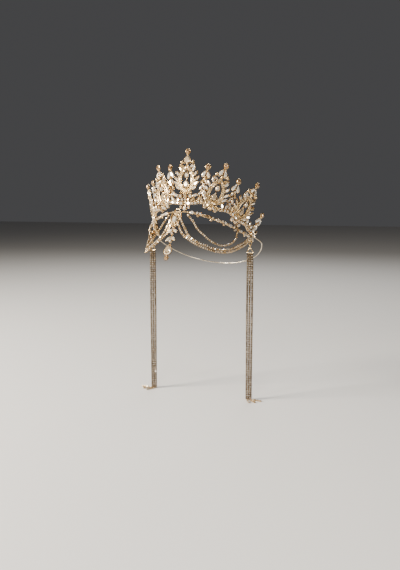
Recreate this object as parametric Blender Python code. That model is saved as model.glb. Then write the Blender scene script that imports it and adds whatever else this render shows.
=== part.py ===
# Bridal crown of soldered metal and cut stones, with chain festoons, a forehead drop and side tassels.
# Metres, +Z up. The origin is the centre of the oval where the crown sits on the head, front is -Y.

import math

import bmesh
import bpy
from mathutils import Matrix, Vector

# Clearances
GAP = 0.0003
LINK_PLAY = 0.0006
SOLDER = 0.0008

# Oval of the head that the crown sits on, raised at the front
BASE_HALF_WIDTH = 0.0750
BASE_HALF_LENGTH = 0.0855
BASE_TILT = math.radians(30.0)
FLARE = math.radians(21.4)
CROWN_END_ANGLE = math.radians(88.0)
BASE_BAND_HEIGHT = 0.0040
BASE_BAND_THICKNESS = 0.0018
BASE_BAND_STEPS = 34
BASE_BAND_WAVES = [
    # angle round the oval from the front in degrees, and how far the band rises above the oval there
    dict(angle=0.0, rise=0.0045),
    dict(angle=8.0, rise=0.0055),
    dict(angle=16.4, rise=0.0075),
    dict(angle=29.8, rise=0.0035),
    dict(angle=43.8, rise=0.0060),
    dict(angle=60.0, rise=0.0020),
    dict(angle=68.0, rise=0.0028),
    dict(angle=75.0, rise=0.0),
]

# Cut stones: table size as a share of the outline, and the height of the crown facets
TABLE_SHARE = 0.55
SMALL_STONE_SIDES = 8
MAIN_STONE_SIDES = 10
SMALL_STONE_HEIGHT = 0.0020
MAIN_STONE_HEIGHT = 0.0030
STONE_BACK = -0.0008

# Large leaf-shaped motifs, sizes measured down from the centre of the top bead
BEAD_RADIUS = 0.0033
BEAD_SIDES = 10
BEAD_RINGS = 4
BEAD_CUP_RADIUS = 0.0020
BEAD_CUP_HEIGHT = 0.0011
BEAD_CUP_SIDES = 6
NECK_WIDTH = 0.0018
PETAL_LENGTH = 0.0105
PETAL_WIDTH = 0.0050
PETAL_BELOW = 0.0102
PETAL_SPREAD = 0.0029
PETAL_TILT = math.radians(20.0)
CREST_PEAR_WIDTH = 0.0098
CREST_PEAR_LENGTH = 0.0114
CREST_PEAR_BELOW = 0.0104
SETTING_RIM = 0.0007
BALL_RADIUS = 0.0024
BALL_BELOW = 0.0145
BALL_SPREAD = 0.0080
BALL_RINGS = 3
SHOULDER_BAR_HEIGHT = 0.0016
FRAME_TOP_BELOW = 0.0185
FRAME_HEIGHT = 0.0370
FRAME_HALF_WIDTH = 0.0122
FRAME_BAND = 0.0053
FRAME_THICKNESS = 0.0026
FRAME_SIDES = 16
LEAF_LENGTH = 0.0085
LEAF_WIDTH = 0.0040
LEAF_STONES = [
    # turn round the frame from its tip in degrees, tilt of the leaf from upright in degrees
    dict(turn=34.0, tilt=62.0),
    dict(turn=56.0, tilt=28.0),
    dict(turn=77.0, tilt=40.0),
    dict(turn=98.0, tilt=47.0),
    dict(turn=119.0, tilt=52.0),
    dict(turn=140.0, tilt=56.0),
]
SPINE_WIDTH = 0.0020
SPINE_THICKNESS = 0.0013
SPINE_FRONT = -0.0006
TEARDROP_WIDTH = 0.0080
TEARDROP_LENGTH = 0.0116
TEARDROP_FOOT_GAP = 0.0005
TEARDROP_BELOW = FRAME_TOP_BELOW + FRAME_HEIGHT - FRAME_BAND - TEARDROP_FOOT_GAP - TEARDROP_LENGTH / 2.0
UPPER_STONE_WIDTH = 0.0062
UPPER_STONE_LENGTH = 0.0076
UPPER_STONE_GAP = 0.0019
UPPER_STONE_BELOW = TEARDROP_BELOW - TEARDROP_LENGTH / 2.0 - UPPER_STONE_GAP - UPPER_STONE_LENGTH / 2.0
CUP_WALL = 0.0015
CUP_HEIGHT = 0.0026
CUP_TURN = (math.radians(105.0), math.radians(255.0))
CUP_STEPS = 6
CLUSTER_FOOT_GAP = 0.0053
CLUSTER_BELOW = FRAME_TOP_BELOW + FRAME_HEIGHT + CLUSTER_FOOT_GAP
CLUSTER_STONE_SIZE = 0.0064
CLUSTER_SPREAD = 0.0072
CLUSTER_BAR_HEIGHT = 0.0020
FOOT_LEAF_TILT = math.radians(72.0)
MOTIFS = [
    # place round the oval and lean in degrees, height of the top bead above the band, rows of extra stones
    dict(name="c", angle=0.0, lean=0.0, height=0.0757, extra_rows=1, pear=True),
    dict(name="r1", angle=29.8, lean=6.5, height=0.0635, extra_rows=0, pear=False),
    dict(name="r2", angle=60.0, lean=8.0, height=0.0585, extra_rows=0, pear=False),
    dict(name="l1", angle=-29.8, lean=-6.5, height=0.0635, extra_rows=0, pear=False),
    dict(name="l2", angle=-60.0, lean=-8.0, height=0.0585, extra_rows=0, pear=False),
]
LEAN_SHIFT = 0.85
EXTRA_ROW_BELOW = 0.0100
EXTRA_ROW_SPREAD = 0.0053
LAST_STONE_BELOW = 0.0168

# Slim spikes between the motifs, and the outermost ones
SPIKE_PAIR_TOP = 0.0200
SPIKE_PAIR_PITCH = 0.0088
SPIKE_PAIR_SPREAD = 0.0023
SPIKE_PAIR_TILT = math.radians(26.0)
SPIKE_SET_BACK = 0.0010
SPIKES = [
    # place and lean in degrees, height of the top bead, pairs of leaf stones under the petals
    dict(name="r3", angle=16.4, lean=4.0, height=0.0572, pairs=3),
    dict(name="r4", angle=43.8, lean=3.0, height=0.0500, pairs=2),
    dict(name="r5", angle=83.3, lean=3.0, height=0.0314, pairs=1),
    dict(name="l3", angle=-16.4, lean=-4.0, height=0.0572, pairs=3),
    dict(name="l4", angle=-43.8, lean=-3.0, height=0.0500, pairs=2),
    dict(name="l5", angle=-83.3, lean=-3.0, height=0.0314, pairs=1),
]

# Plaque under the front of the crown, a little to one side
PLAQUE_ANGLE = math.radians(-6.0)
PLAQUE_STAND_OFF = 0.0036
PLAQUE_DROP = 0.0212
PLAQUE_WIDTH = 0.0138
PLAQUE_LENGTH = 0.0180
PLAQUE_THICKNESS = 0.0016
PLAQUE_SIDES = 12
PLAQUE_RIM_WALL = 0.0016
PLAQUE_RIM_HEIGHT = 0.0012
PLAQUE_STONE_WIDTH = 0.0082
PLAQUE_STONE_LENGTH = 0.0112
BAR_DROP = 0.0090
BAR_LENGTH = 0.0140
BAR_HEIGHT = 0.0022
ARCH_RADIUS = 0.0045
ARCH_STEPS = 6

# Rings and links of round wire
EYELET_WIRE = 0.0005
EYELET_RADIUS = 0.0018
WIRE_SIDES = 5
RING_SIDES = 10

# Forehead drop, distances down from its hinge
DROP_LEAF_LENGTH = 0.0088
DROP_LEAF_WIDTH = 0.0048
DROP_LEAF_SPREAD = 0.0038
DROP_LEAF_TILT = math.radians(52.0)
DROP_BEAD_RADIUS = 0.0021
DROP_ROWS = [
    # middle of the pair of leaves, centre of the small bead under it
    dict(leaf=0.0046, bead=0.0084),
    dict(leaf=0.0164, bead=0.0202),
]
DROP_STONE_WIDTH = 0.0114
DROP_STONE_LENGTH = 0.0156
DROP_STONE_DOWN = 0.0322
DROP_RIM = 0.0011
DROP_PLATE_THICKNESS = 0.0014
DROP_END_STONE_SIZE = 0.0070

# Festoon under the crown and the chains hanging from it.
# A share runs round the head from the plaque, 0, to the end cluster, 1. A drop is measured down the head.
END_CLUSTER_ANGLE = math.radians(79.0)
END_CLUSTER_DROP = 0.0045
END_CLUSTER_STAND_OFF = 0.0024
END_CLUSTER_RADIUS = 0.0046
END_CLUSTER_PLATE = 0.0012
END_CLUSTER_STONE_SIZE = 0.0064
END_CLUSTER_LEAF_TILT = math.radians(24.0)
FESTOON_HEIGHT = 0.0022
FESTOON_THICKNESS = 0.0012
FESTOON_STAND_OFF = 0.0028
FESTOON_POINT_PITCH = 0.0110
FESTOON_ROUTE = [
    dict(share=0.16, drop=0.0092),
    dict(share=0.40, drop=0.0126),
    dict(share=0.66, drop=0.0132),
    dict(share=0.86, drop=0.0124),
]
FESTOON_UNITS = 9
FESTOON_FIRST_SHARE = 0.183
FESTOON_LAST_SHARE = 0.794
FESTOON_OVAL_LENGTH = 0.0092
FESTOON_OVAL_WIDTH = 0.0052
FESTOON_TREFOIL_SIZE = 0.0080
FESTOON_TREFOIL_SIDES = 9
FESTOON_TREFOIL_WAIST = 0.22
LUG_RADIUS = 0.0014
LUG_DROP = 0.0034
SINGLE_START_SHARE = 0.135
SINGLE_END_SHARE = 0.756

CHAIN_DIAMETER = 0.0027
CHAIN_STAND_OFF = 0.0018
CHAIN_POINT_PITCH = 3.0
CHAIN_BEVEL_RESOLUTION = 2
SINGLE_CHAIN_ROUTE = [
    dict(share=0.215, drop=0.0215),
    dict(share=0.286, drop=0.0316),
    dict(share=0.381, drop=0.0392),
    dict(share=0.453, drop=0.0436),
    dict(share=0.537, drop=0.0455),
    dict(share=0.610, drop=0.0441),
    dict(share=0.684, drop=0.0383),
    dict(share=0.750, drop=0.0284),
]
DOUBLE_CHAIN_ROUTE = [
    # share and drop of the pair's middle line, and how far apart its two rows are
    dict(share=0.130, drop=0.0375, apart=0.0062),
    dict(share=0.185, drop=0.0443, apart=0.0040),
    dict(share=0.250, drop=0.0490, apart=0.0034),
    dict(share=0.330, drop=0.0525, apart=0.0034),
    dict(share=0.420, drop=0.0543, apart=0.0034),
    dict(share=0.520, drop=0.0543, apart=0.0034),
    dict(share=0.620, drop=0.0517, apart=0.0034),
    dict(share=0.700, drop=0.0468, apart=0.0034),
    dict(share=0.780, drop=0.0395, apart=0.0034),
    dict(share=0.860, drop=0.0302, apart=0.0034),
    dict(share=0.925, drop=0.0222, apart=0.0034),
]
PLAQUE_LUG_DROPS = (-0.0010, 0.0066)
CLUSTER_LUGS = [
    # towards the front and down from the cluster's middle, and the same for the place on the leaf that holds it
    dict(forward=0.0056, down=0.0077, root_forward=0.0026, root_down=0.0056),
    dict(forward=0.0028, down=0.0094, root_forward=0.0030, root_down=0.0070),
]

# Side tassels
LINK_HALF_LENGTH = 0.0034
LINK_HALF_WIDTH = 0.0015
LINKS = 2
TASSEL_RING_WIDTH = 0.0094
TASSEL_RING_HEIGHT = 0.0068
TASSEL_STRANDS = 3
TASSEL_STRAND_PITCH = 0.0032
TASSEL_STRAND_BOW = 0.0005
TASSEL_HEAD_WIDTH = 0.0094
TASSEL_HEAD_HEIGHT = 0.0016
CHAIN_DEPTH = 0.0022
STRAND_SWAYS = [
    # share of the way down, and share of the bow
    dict(share=0.0, sway=0.0),
    dict(share=0.2, sway=0.8),
    dict(share=0.4, sway=1.0),
    dict(share=0.7, sway=0.4),
    dict(share=1.0, sway=0.0),
]
TASSEL_FOOT = -0.2330
TAIL_BAR_WIDTH = 0.0012
TAIL_BAR_HEIGHT = 0.0010
TAIL_BAR_START = -0.0006
TAIL_STONE_LENGTH = 0.0052
TAIL_STONE_WIDTH = 0.0032
TAIL_STONE_HEIGHT = 0.0020
TAIL_FIRST = 0.0072
TAIL_PITCH = 0.0041
TAIL_STONES = 3
TAIL_TURNS = (math.radians(-58.0), math.radians(-38.0), math.radians(-8.0))

# Plain wire that closes the ring behind the head
BACK_WIRE_RADIUS = 0.0007
BACK_WIRE_GROW = 0.0080
BACK_WIRE_BLEND = math.radians(14.0)
BACK_WIRE_STEPS = 18

GOLD = (0.62, 0.43, 0.20, 1.0)
PALE_GOLD = (0.70, 0.55, 0.34, 1.0)
CRYSTAL = (0.86, 0.83, 0.76, 1.0)


def clear_scene():
    """Remove what the file holds, so the script gives the same result each time."""
    for obj in list(bpy.data.objects):
        bpy.data.objects.remove(obj, do_unlink=True)


def make_material(name, colour, metallic, roughness):
    """A Principled material with one colour, metallic and roughness value."""
    material = bpy.data.materials.new(name)
    material.use_nodes = True
    shader = material.node_tree.nodes["Principled BSDF"]
    shader.inputs["Base Color"].default_value = colour
    shader.inputs["Metallic"].default_value = metallic
    shader.inputs["Roughness"].default_value = roughness
    return material


def metal(name):
    return make_material(name + "_metal", GOLD, 1.0, 0.28)


def chain_metal(name):
    return make_material(name + "_chain", PALE_GOLD, 0.8, 0.3)


def crystal(name):
    return make_material(name + "_crystal", CRYSTAL, 0.1, 0.08)


# Places on the head

def base_axes():
    """Across, forward and up axes of the tilted oval."""
    across = Vector((1.0, 0.0, 0.0))
    forward = Vector((0.0, -math.cos(BASE_TILT), math.sin(BASE_TILT)))
    up = Vector((0.0, math.sin(BASE_TILT), math.cos(BASE_TILT)))
    return across, forward, up


def outward_at(angle):
    """Direction square to the oval, pointing away from the head."""
    across, forward, _ = base_axes()
    outward = across * (math.sin(angle) / BASE_HALF_WIDTH) + forward * (math.cos(angle) / BASE_HALF_LENGTH)
    return outward.normalized()


def along_at(angle):
    """Direction along the oval, towards the right ear at the front."""
    across, forward, _ = base_axes()
    along = across * (BASE_HALF_WIDTH * math.cos(angle)) - forward * (BASE_HALF_LENGTH * math.sin(angle))
    return along.normalized()


def head_point(angle, drop=0.0, stand_off=0.0):
    """A point of the head: an angle round the oval, a drop below it and a distance off its surface."""
    across, forward, up = base_axes()
    on_oval = across * (BASE_HALF_WIDTH * math.sin(angle)) + forward * (BASE_HALF_LENGTH * math.cos(angle))
    return on_oval + outward_at(angle) * stand_off - up * drop


def frame_matrix(origin, along, up):
    """Matrix whose X runs along, Y up and Z out of a piece's face."""
    out = along.cross(up).normalized()
    rotation = Matrix((along, up, out)).transposed()
    return Matrix.Translation(origin) @ rotation.to_4x4()


def panel_matrix(angle, lean):
    """Flared plane of a crown motif. Its lean turns it in that plane, about a point at its foot."""
    _, _, up = base_axes()
    rise = up * math.cos(FLARE) + outward_at(angle) * math.sin(FLARE)
    return frame_matrix(head_point(angle), along_at(angle), rise) @ Matrix.Rotation(-lean, 4, "Z")


def skin_matrix(angle, drop, stand_off):
    """Plane that lies on the head below the crown."""
    _, _, up = base_axes()
    return frame_matrix(head_point(angle, drop, stand_off), along_at(angle), up)


def share_angle(side, share):
    """Angle round the oval at a share of the way from the plaque to one end cluster."""
    return PLAQUE_ANGLE + share * (side * END_CLUSTER_ANGLE - PLAQUE_ANGLE)


# Shapes, each returned as a bmesh

def loft(rings, closed=False):
    """Skin a row of rings of points, capping the two ends unless the row closes on itself."""
    shape = bmesh.new()
    rows = [[shape.verts.new(point) for point in ring] for ring in rings]
    pairs = list(zip(rows, rows[1:]))
    if closed:
        pairs.append((rows[-1], rows[0]))
    for first, second in pairs:
        for index in range(len(first)):
            following = (index + 1) % len(first)
            shape.faces.new((first[index], first[following], second[following], second[index]))
    if not closed:
        shape.faces.new(rows[0][::-1])
        shape.faces.new(rows[-1])
    bmesh.ops.recalc_face_normals(shape, faces=shape.faces)
    return shape


def outline_point(kind, width, length, turn):
    """A point of a stone's outline, by its turn from the tip at the top."""
    wave = math.sin(turn)
    if kind == "marquise":
        wave *= abs(wave) ** 0.35
    if kind == "pear":
        wave *= math.sin(turn / 2.0) / 0.77
    if kind == "frame":
        wave *= math.sqrt(math.sin(turn / 2.0)) / 0.862
    return Vector((wave * width / 2.0, math.cos(turn) * length / 2.0, 0.0))


def outline(kind, width, length, sides, height=0.0):
    """Closed outline of a stone at one height."""
    turns = [2.0 * math.pi * index / sides for index in range(sides)]
    return [outline_point(kind, width, length, turn) + Vector((0.0, 0.0, height)) for turn in turns]


def trefoil(size, level):
    """Outline of three round stones set in a triangle, one of them below."""
    points = []
    for index in range(FESTOON_TREFOIL_SIDES):
        turn = 2.0 * math.pi * index / FESTOON_TREFOIL_SIDES
        reach = size / 2.0 * (1.0 - FESTOON_TREFOIL_WAIST * (1.0 + math.cos(3.0 * turn)) / 2.0)
        points.append(Vector((reach * math.sin(turn), reach * math.cos(turn), level)))
    return points


def small_stone(kind, width, length, height=SMALL_STONE_HEIGHT):
    """Fused stone: slanted facets between its outline and a table."""
    low = outline(kind, width, length, SMALL_STONE_SIDES, STONE_BACK)
    top = outline(kind, width * TABLE_SHARE, length * TABLE_SHARE, SMALL_STONE_SIDES, STONE_BACK + height)
    return loft([low, top])


def main_stone(kind, width, length, back):
    """Stone of its own: pavilion facets, girdle and crown facets up to a table."""
    girdle = back + MAIN_STONE_HEIGHT * 0.45
    top = back + MAIN_STONE_HEIGHT
    rings = [
        outline(kind, width * 0.6, length * 0.6, MAIN_STONE_SIDES, back),
        outline(kind, width, length, MAIN_STONE_SIDES, girdle),
        outline(kind, width * TABLE_SHARE, length * TABLE_SHARE, MAIN_STONE_SIDES, top),
    ]
    return loft(rings)


def ball(radius, rings=BALL_RINGS, sides=BEAD_SIDES):
    """Round bead with flat facets."""
    shape = bmesh.new()
    bmesh.ops.create_uvsphere(shape, u_segments=sides, v_segments=rings, radius=radius)
    bmesh.ops.rotate(shape, verts=shape.verts, matrix=Matrix.Rotation(math.radians(90.0), 3, "X"))
    return shape


def block(x_range, y_range, z_range):
    """Rectangular bar between two corners."""
    size = Vector((x_range[1] - x_range[0], y_range[1] - y_range[0], z_range[1] - z_range[0]))
    middle = Vector((sum(x_range), sum(y_range), sum(z_range))) / 2.0
    shape = bmesh.new()
    bmesh.ops.create_cube(shape, size=1.0, matrix=Matrix.Translation(middle) @ Matrix.Diagonal(size).to_4x4())
    return shape


def cone(low_radius, high_radius, low, high, sides):
    """Tapered cup standing along Y between two heights."""
    rings = []
    for radius, level in ((low_radius, low), (high_radius, high)):
        ring = []
        for index in range(sides):
            turn = 2.0 * math.pi * index / sides
            ring.append(Vector((radius * math.cos(turn), level, radius * math.sin(turn))))
        rings.append(ring)
    return loft(rings)


def outline_wall(kind, width, length, wall, low, high, sides, turns=None):
    """Wall that follows an outline from outside, all the way round or between two turns."""
    closed = turns is None
    start, stop = turns if turns else (0.0, 2.0 * math.pi)
    steps = sides if closed else sides + 1
    rings = []
    for index in range(steps):
        turn = start + (stop - start) * index / sides
        inner = outline_point(kind, width, length, turn)
        outer = outline_point(kind, width + 2.0 * wall, length + 2.0 * wall, turn)
        ring = [Vector((inner.x, inner.y, low)), Vector((outer.x, outer.y, low))]
        ring += [Vector((outer.x, outer.y, high)), Vector((inner.x, inner.y, high))]
        rings.append(ring)
    return loft(rings, closed)


def swept_bar(points, ups, outs, height, thickness):
    """Flat bar swept along points, with its height along ups and its thickness along outs."""
    rings = []
    for point, up, out in zip(points, ups, outs):
        high = up * (height / 2.0)
        deep = out * (thickness / 2.0)
        rings.append([point - high - deep, point + high - deep, point + high + deep, point - high + deep])
    return loft(rings)


def arm(start, stop, width, thickness):
    """Straight bar between two places of a panel, lying in its plane."""
    face = Vector((0.0, 0.0, 1.0))
    across = face.cross(stop - start).normalized()
    return swept_bar([start, stop], [across] * 2, [face] * 2, width, thickness)


def wire_ring(points, normal, radius, sides=WIRE_SIDES):
    """Closed loop of round wire through points that lie in one plane."""
    count = len(points)
    rings = []
    for index, point in enumerate(points):
        direction = (points[(index + 1) % count] - points[index - 1]).normalized()
        side = direction.cross(normal).normalized()
        turns = [2.0 * math.pi * step / sides for step in range(sides)]
        rings.append([point + side * (radius * math.cos(t)) + normal * (radius * math.sin(t)) for t in turns])
    return loft(rings, closed=True)


def oval_ring(centre, long_axis, wide_axis, half_length, half_width, wire):
    """Oval link or round eyelet of wire."""
    points = []
    for index in range(RING_SIDES):
        turn = 2.0 * math.pi * (index + 0.5) / RING_SIDES
        along = long_axis * (half_length * math.cos(turn))
        points.append(centre + along + wide_axis * (half_width * math.sin(turn)))
    return wire_ring(points, long_axis.cross(wide_axis).normalized(), wire)


def placed(shape, matrix):
    """The same shape, moved by a matrix."""
    bmesh.ops.transform(shape, matrix=matrix, verts=shape.verts)
    return shape


def at(x, y, z=0.0, turn=0.0):
    """Local place on a panel, with a turn clockwise as seen from the front."""
    return Matrix.Translation((x, y, z)) @ Matrix.Rotation(-turn, 4, "Z")


# Objects

def new_object(name, shape, material):
    """Put a bmesh into the scene as one object."""
    mesh = bpy.data.meshes.new(name)
    shape.to_mesh(mesh)
    shape.free()
    obj = bpy.data.objects.new(name, mesh)
    bpy.context.scene.collection.objects.link(obj)
    if material:
        mesh.materials.append(material)
    return obj


def fused(name, shapes, material):
    """Solder closed shapes that reach into each other, as one solid."""
    helpers = bpy.data.collections.new(name + "_pieces")
    bpy.context.scene.collection.children.link(helpers)
    obj = new_object(name, shapes[0], material)
    for index, shape in enumerate(shapes[1:]):
        helper = new_object("{}_piece_{}".format(name, index), shape, None)
        bpy.context.scene.collection.objects.unlink(helper)
        helpers.objects.link(helper)
        helper.hide_render = True
        helper.display_type = "WIRE"
    union = obj.modifiers.new("solder", "BOOLEAN")
    union.operation = "UNION"
    union.operand_type = "COLLECTION"
    union.collection = helpers
    union.solver = "EXACT"
    depsgraph = bpy.context.evaluated_depsgraph_get()
    mesh = bpy.data.meshes.new_from_object(obj.evaluated_get(depsgraph))
    obj.modifiers.clear()
    obj.data = mesh
    mesh.materials.clear()
    mesh.materials.append(material)
    for helper in list(helpers.objects):
        bpy.data.objects.remove(helper, do_unlink=True)
    bpy.data.collections.remove(helpers)
    return obj


def chain_tube(name, points):
    """Tube that stands for a fine chain: a curve with a bevel and filled caps."""
    curve = bpy.data.curves.new(name, "CURVE")
    curve.dimensions = "3D"
    curve.bevel_depth = CHAIN_DIAMETER / 2.0
    curve.bevel_resolution = CHAIN_BEVEL_RESOLUTION
    curve.use_fill_caps = True
    spline = curve.splines.new("POLY")
    spline.points.add(len(points) - 1)
    for target, point in zip(spline.points, points):
        target.co = (point.x, point.y, point.z, 1.0)
    obj = bpy.data.objects.new(name, curve)
    bpy.context.scene.collection.objects.link(obj)
    curve.materials.append(chain_metal(name))
    return obj


def smooth_route(points, pitch):
    """Evenly spaced points on a smooth curve through a route's own points."""
    fine = []
    padded = [points[0] * 2.0 - points[1]] + points + [points[-1] * 2.0 - points[-2]]
    for index in range(1, len(padded) - 2):
        before, start, stop, after = padded[index - 1:index + 3]
        for step in range(12):
            t = step / 12.0
            bend = (stop - before) * t + (before * 2.0 - start * 5.0 + stop * 4.0 - after) * t ** 2
            bend += (start * 3.0 - before - stop * 3.0 + after) * t ** 3
            fine.append(start + bend * 0.5)
    fine.append(points[-1])
    lengths = [0.0]
    for first, second in zip(fine, fine[1:]):
        lengths.append(lengths[-1] + (second - first).length)
    count = max(4, round(lengths[-1] / pitch) + 1)
    spaced = []
    place = 0
    for index in range(count):
        target = lengths[-1] * index / (count - 1)
        while place < len(lengths) - 2 and lengths[place + 1] < target:
            place += 1
        share = (target - lengths[place]) / (lengths[place + 1] - lengths[place])
        spaced.append(fine[place].lerp(fine[place + 1], min(max(share, 0.0), 1.0)))
    return spaced


# Crown

def bead_seat(height):
    """Small cup under a top bead."""
    top = height - BEAD_RADIUS - GAP
    return cone(NECK_WIDTH / 2.0, BEAD_CUP_RADIUS, top - BEAD_CUP_HEIGHT, top, BEAD_CUP_SIDES)


def petal_pair(height):
    """Two stones that lean together under the bead."""
    shapes = []
    for side in (-1.0, 1.0):
        place = at(side * PETAL_SPREAD, height - PETAL_BELOW, turn=side * PETAL_TILT * -1.0)
        shapes.append(placed(small_stone("pear", PETAL_WIDTH, PETAL_LENGTH), place))
    return shapes


def frame_edge(height, turn):
    """A point on the outer edge of a motif's leaf frame."""
    middle = height - FRAME_TOP_BELOW - FRAME_HEIGHT / 2.0
    return outline_point("frame", 2.0 * FRAME_HALF_WIDTH, FRAME_HEIGHT, turn) + Vector((0.0, middle, 0.0))


def leaf_on(root, side, tilt):
    """A leaf stone that grows from a root point, tilted outwards."""
    reach = LEAF_LENGTH / 2.0 - SOLDER
    centre = Vector((side * root.x + side * reach * math.sin(tilt), root.y + reach * math.cos(tilt)))
    return placed(small_stone("marquise", LEAF_WIDTH, LEAF_LENGTH), at(centre.x, centre.y, turn=side * tilt))


def motif_shapes(motif):
    """All soldered pieces of one large motif, in its own plane."""
    height = motif["height"]
    foot = min(band_level(motif), lowest_stone(motif))
    frame_middle = height - FRAME_TOP_BELOW - FRAME_HEIGHT / 2.0
    inner_width = 2.0 * (FRAME_HALF_WIDTH - FRAME_BAND)
    inner_length = FRAME_HEIGHT - 2.0 * FRAME_BAND
    frame = outline_wall("frame", inner_width, inner_length, FRAME_BAND,
                         -FRAME_THICKNESS / 2.0, FRAME_THICKNESS / 2.0, FRAME_SIDES)
    spine_top = height - BEAD_RADIUS - BEAD_CUP_HEIGHT
    spine_back = SPINE_FRONT - SPINE_THICKNESS
    half_spine = SPINE_WIDTH / 2.0
    shapes = [placed(frame, at(0.0, frame_middle)), bead_seat(height)]
    shapes.append(block((-half_spine, half_spine), (foot, spine_top), (spine_back, SPINE_FRONT)))
    if motif["pear"]:
        rim = 2.0 * SETTING_RIM
        plate = [outline("pear", CREST_PEAR_WIDTH + rim, CREST_PEAR_LENGTH + rim, MAIN_STONE_SIDES, level)
                 for level in (spine_back * 0.9, SPINE_FRONT * 0.5)]
        shapes.append(placed(loft(plate), at(0.0, height - CREST_PEAR_BELOW)))
    else:
        shapes += petal_pair(height)
    shoulder = height - BALL_BELOW
    half_bar = SHOULDER_BAR_HEIGHT / 2.0
    shapes.append(block((-BALL_SPREAD, BALL_SPREAD), (shoulder - half_bar, shoulder + half_bar),
                        (spine_back * 0.8, SPINE_FRONT * 0.5)))
    for side in (-1.0, 1.0):
        shapes.append(placed(ball(BALL_RADIUS), at(side * BALL_SPREAD, shoulder)))
        for leaf in LEAF_STONES:
            root = frame_edge(height, math.radians(leaf["turn"]))
            shapes.append(leaf_on(root, side, math.radians(leaf["tilt"])))
        if motif["extra_rows"]:
            foot_root = Vector((CLUSTER_SPREAD + CLUSTER_STONE_SIZE / 2.0, height - CLUSTER_BELOW))
            shapes.append(leaf_on(foot_root, side, FOOT_LEAF_TILT))
    shapes += cup_shapes(height)
    shapes += cluster_shapes(height, motif["extra_rows"])
    return shapes


def lowest_stone(motif):
    """Height of the lowest stone of a motif."""
    level = motif["height"] - CLUSTER_BELOW
    return level - LAST_STONE_BELOW if motif["extra_rows"] else level


def band_rise(angle):
    """How far the band rises above the oval, in smooth waves from motif to motif."""
    degrees = abs(math.degrees(angle))
    for first, second in zip(BASE_BAND_WAVES, BASE_BAND_WAVES[1:]):
        if degrees <= second["angle"]:
            part = (degrees - first["angle"]) / (second["angle"] - first["angle"])
            ease = part * part * (3.0 - 2.0 * part)
            return first["rise"] + (second["rise"] - first["rise"]) * ease
    return BASE_BAND_WAVES[-1]["rise"]


def band_level(item):
    """Height just under the band's middle, in the plane of a motif or spike."""
    return band_rise(math.radians(item["angle"])) / math.cos(FLARE) - BASE_BAND_HEIGHT / 4.0


def cup_shapes(height):
    """Crescent that holds the foot of the teardrop stone."""
    width = TEARDROP_WIDTH + 2.0 * GAP
    length = TEARDROP_LENGTH + 2.0 * GAP
    cup = outline_wall("pear", width, length, CUP_WALL, SPINE_FRONT - SPINE_THICKNESS / 2.0,
                       CUP_HEIGHT + SPINE_FRONT, CUP_STEPS, CUP_TURN)
    return [placed(cup, at(0.0, height - TEARDROP_BELOW))]


def cluster_shapes(height, extra_rows):
    """Round stones at the foot of a motif, on the bars that carry them."""
    rows = [dict(level=height - CLUSTER_BELOW, spread=CLUSTER_SPREAD, middle=True)]
    for row in range(extra_rows):
        level = height - CLUSTER_BELOW - EXTRA_ROW_BELOW * (row + 1)
        rows.append(dict(level=level, spread=EXTRA_ROW_SPREAD, middle=False))
    shapes = []
    for row in rows:
        half_bar = CLUSTER_BAR_HEIGHT / 2.0
        shapes.append(block((-row["spread"], row["spread"]), (row["level"] - half_bar, row["level"] + half_bar),
                            (SPINE_FRONT - SPINE_THICKNESS * 0.9, 0.0)))
        places = [-row["spread"], row["spread"]] + ([0.0] if row["middle"] else [])
        for x in places:
            stone = small_stone("round", CLUSTER_STONE_SIZE, CLUSTER_STONE_SIZE)
            shapes.append(placed(stone, at(x, row["level"])))
    if extra_rows:
        stone = small_stone("round", CLUSTER_STONE_SIZE, CLUSTER_STONE_SIZE)
        shapes.append(placed(stone, at(0.0, height - CLUSTER_BELOW - LAST_STONE_BELOW)))
    return shapes


def spike_shapes(spike):
    """Soldered pieces of a slim spike: stem, petals and pairs of leaf stones."""
    height = spike["height"]
    half_neck = NECK_WIDTH / 2.0
    stem_top = height - BEAD_RADIUS - BEAD_CUP_HEIGHT
    spine_back = SPINE_FRONT - SPINE_THICKNESS
    foot = band_level(spike)
    shapes = [bead_seat(height)]
    shapes.append(block((-half_neck, half_neck), (foot, stem_top), (spine_back, SPINE_FRONT)))
    shapes.append(block((-half_neck * 0.9, half_neck * 0.9), (foot * 0.98, foot + BASE_BAND_HEIGHT / 2.0),
                        (spine_back * 0.9, SPIKE_SET_BACK)))
    shapes += petal_pair(height)
    for row in range(spike["pairs"]):
        level = height - SPIKE_PAIR_TOP - SPIKE_PAIR_PITCH * row
        for side in (-1.0, 1.0):
            place = at(side * SPIKE_PAIR_SPREAD, level, turn=-side * SPIKE_PAIR_TILT)
            shapes.append(placed(small_stone("marquise", LEAF_WIDTH, LEAF_LENGTH), place))
    return shapes


def motif_matrix(motif):
    """Plane of a motif. Its foot is set back so that the lean turns it about its upper part."""
    angle = math.radians(motif["angle"])
    lean = math.radians(motif["lean"])
    shift = -motif["height"] * math.tan(lean) * LEAN_SHIFT
    return panel_matrix(angle, 0.0) @ Matrix.Translation((shift, 0.0, 0.0)) @ Matrix.Rotation(-lean, 4, "Z")


def spike_matrix(spike):
    return motif_matrix(spike) @ Matrix.Translation((0.0, 0.0, -SPIKE_SET_BACK))


def base_band():
    """Plain band under the motifs, from ear to ear."""
    _, _, up = base_axes()
    points = []
    outs = []
    for step in range(BASE_BAND_STEPS + 1):
        angle = CROWN_END_ANGLE * (2.0 * step / BASE_BAND_STEPS - 1.0)
        rise = band_rise(angle)
        points.append(head_point(angle, -rise, rise * math.tan(FLARE)))
        outs.append(outward_at(angle))
    return swept_bar(points, [up] * len(points), outs, BASE_BAND_HEIGHT, BASE_BAND_THICKNESS)


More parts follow.
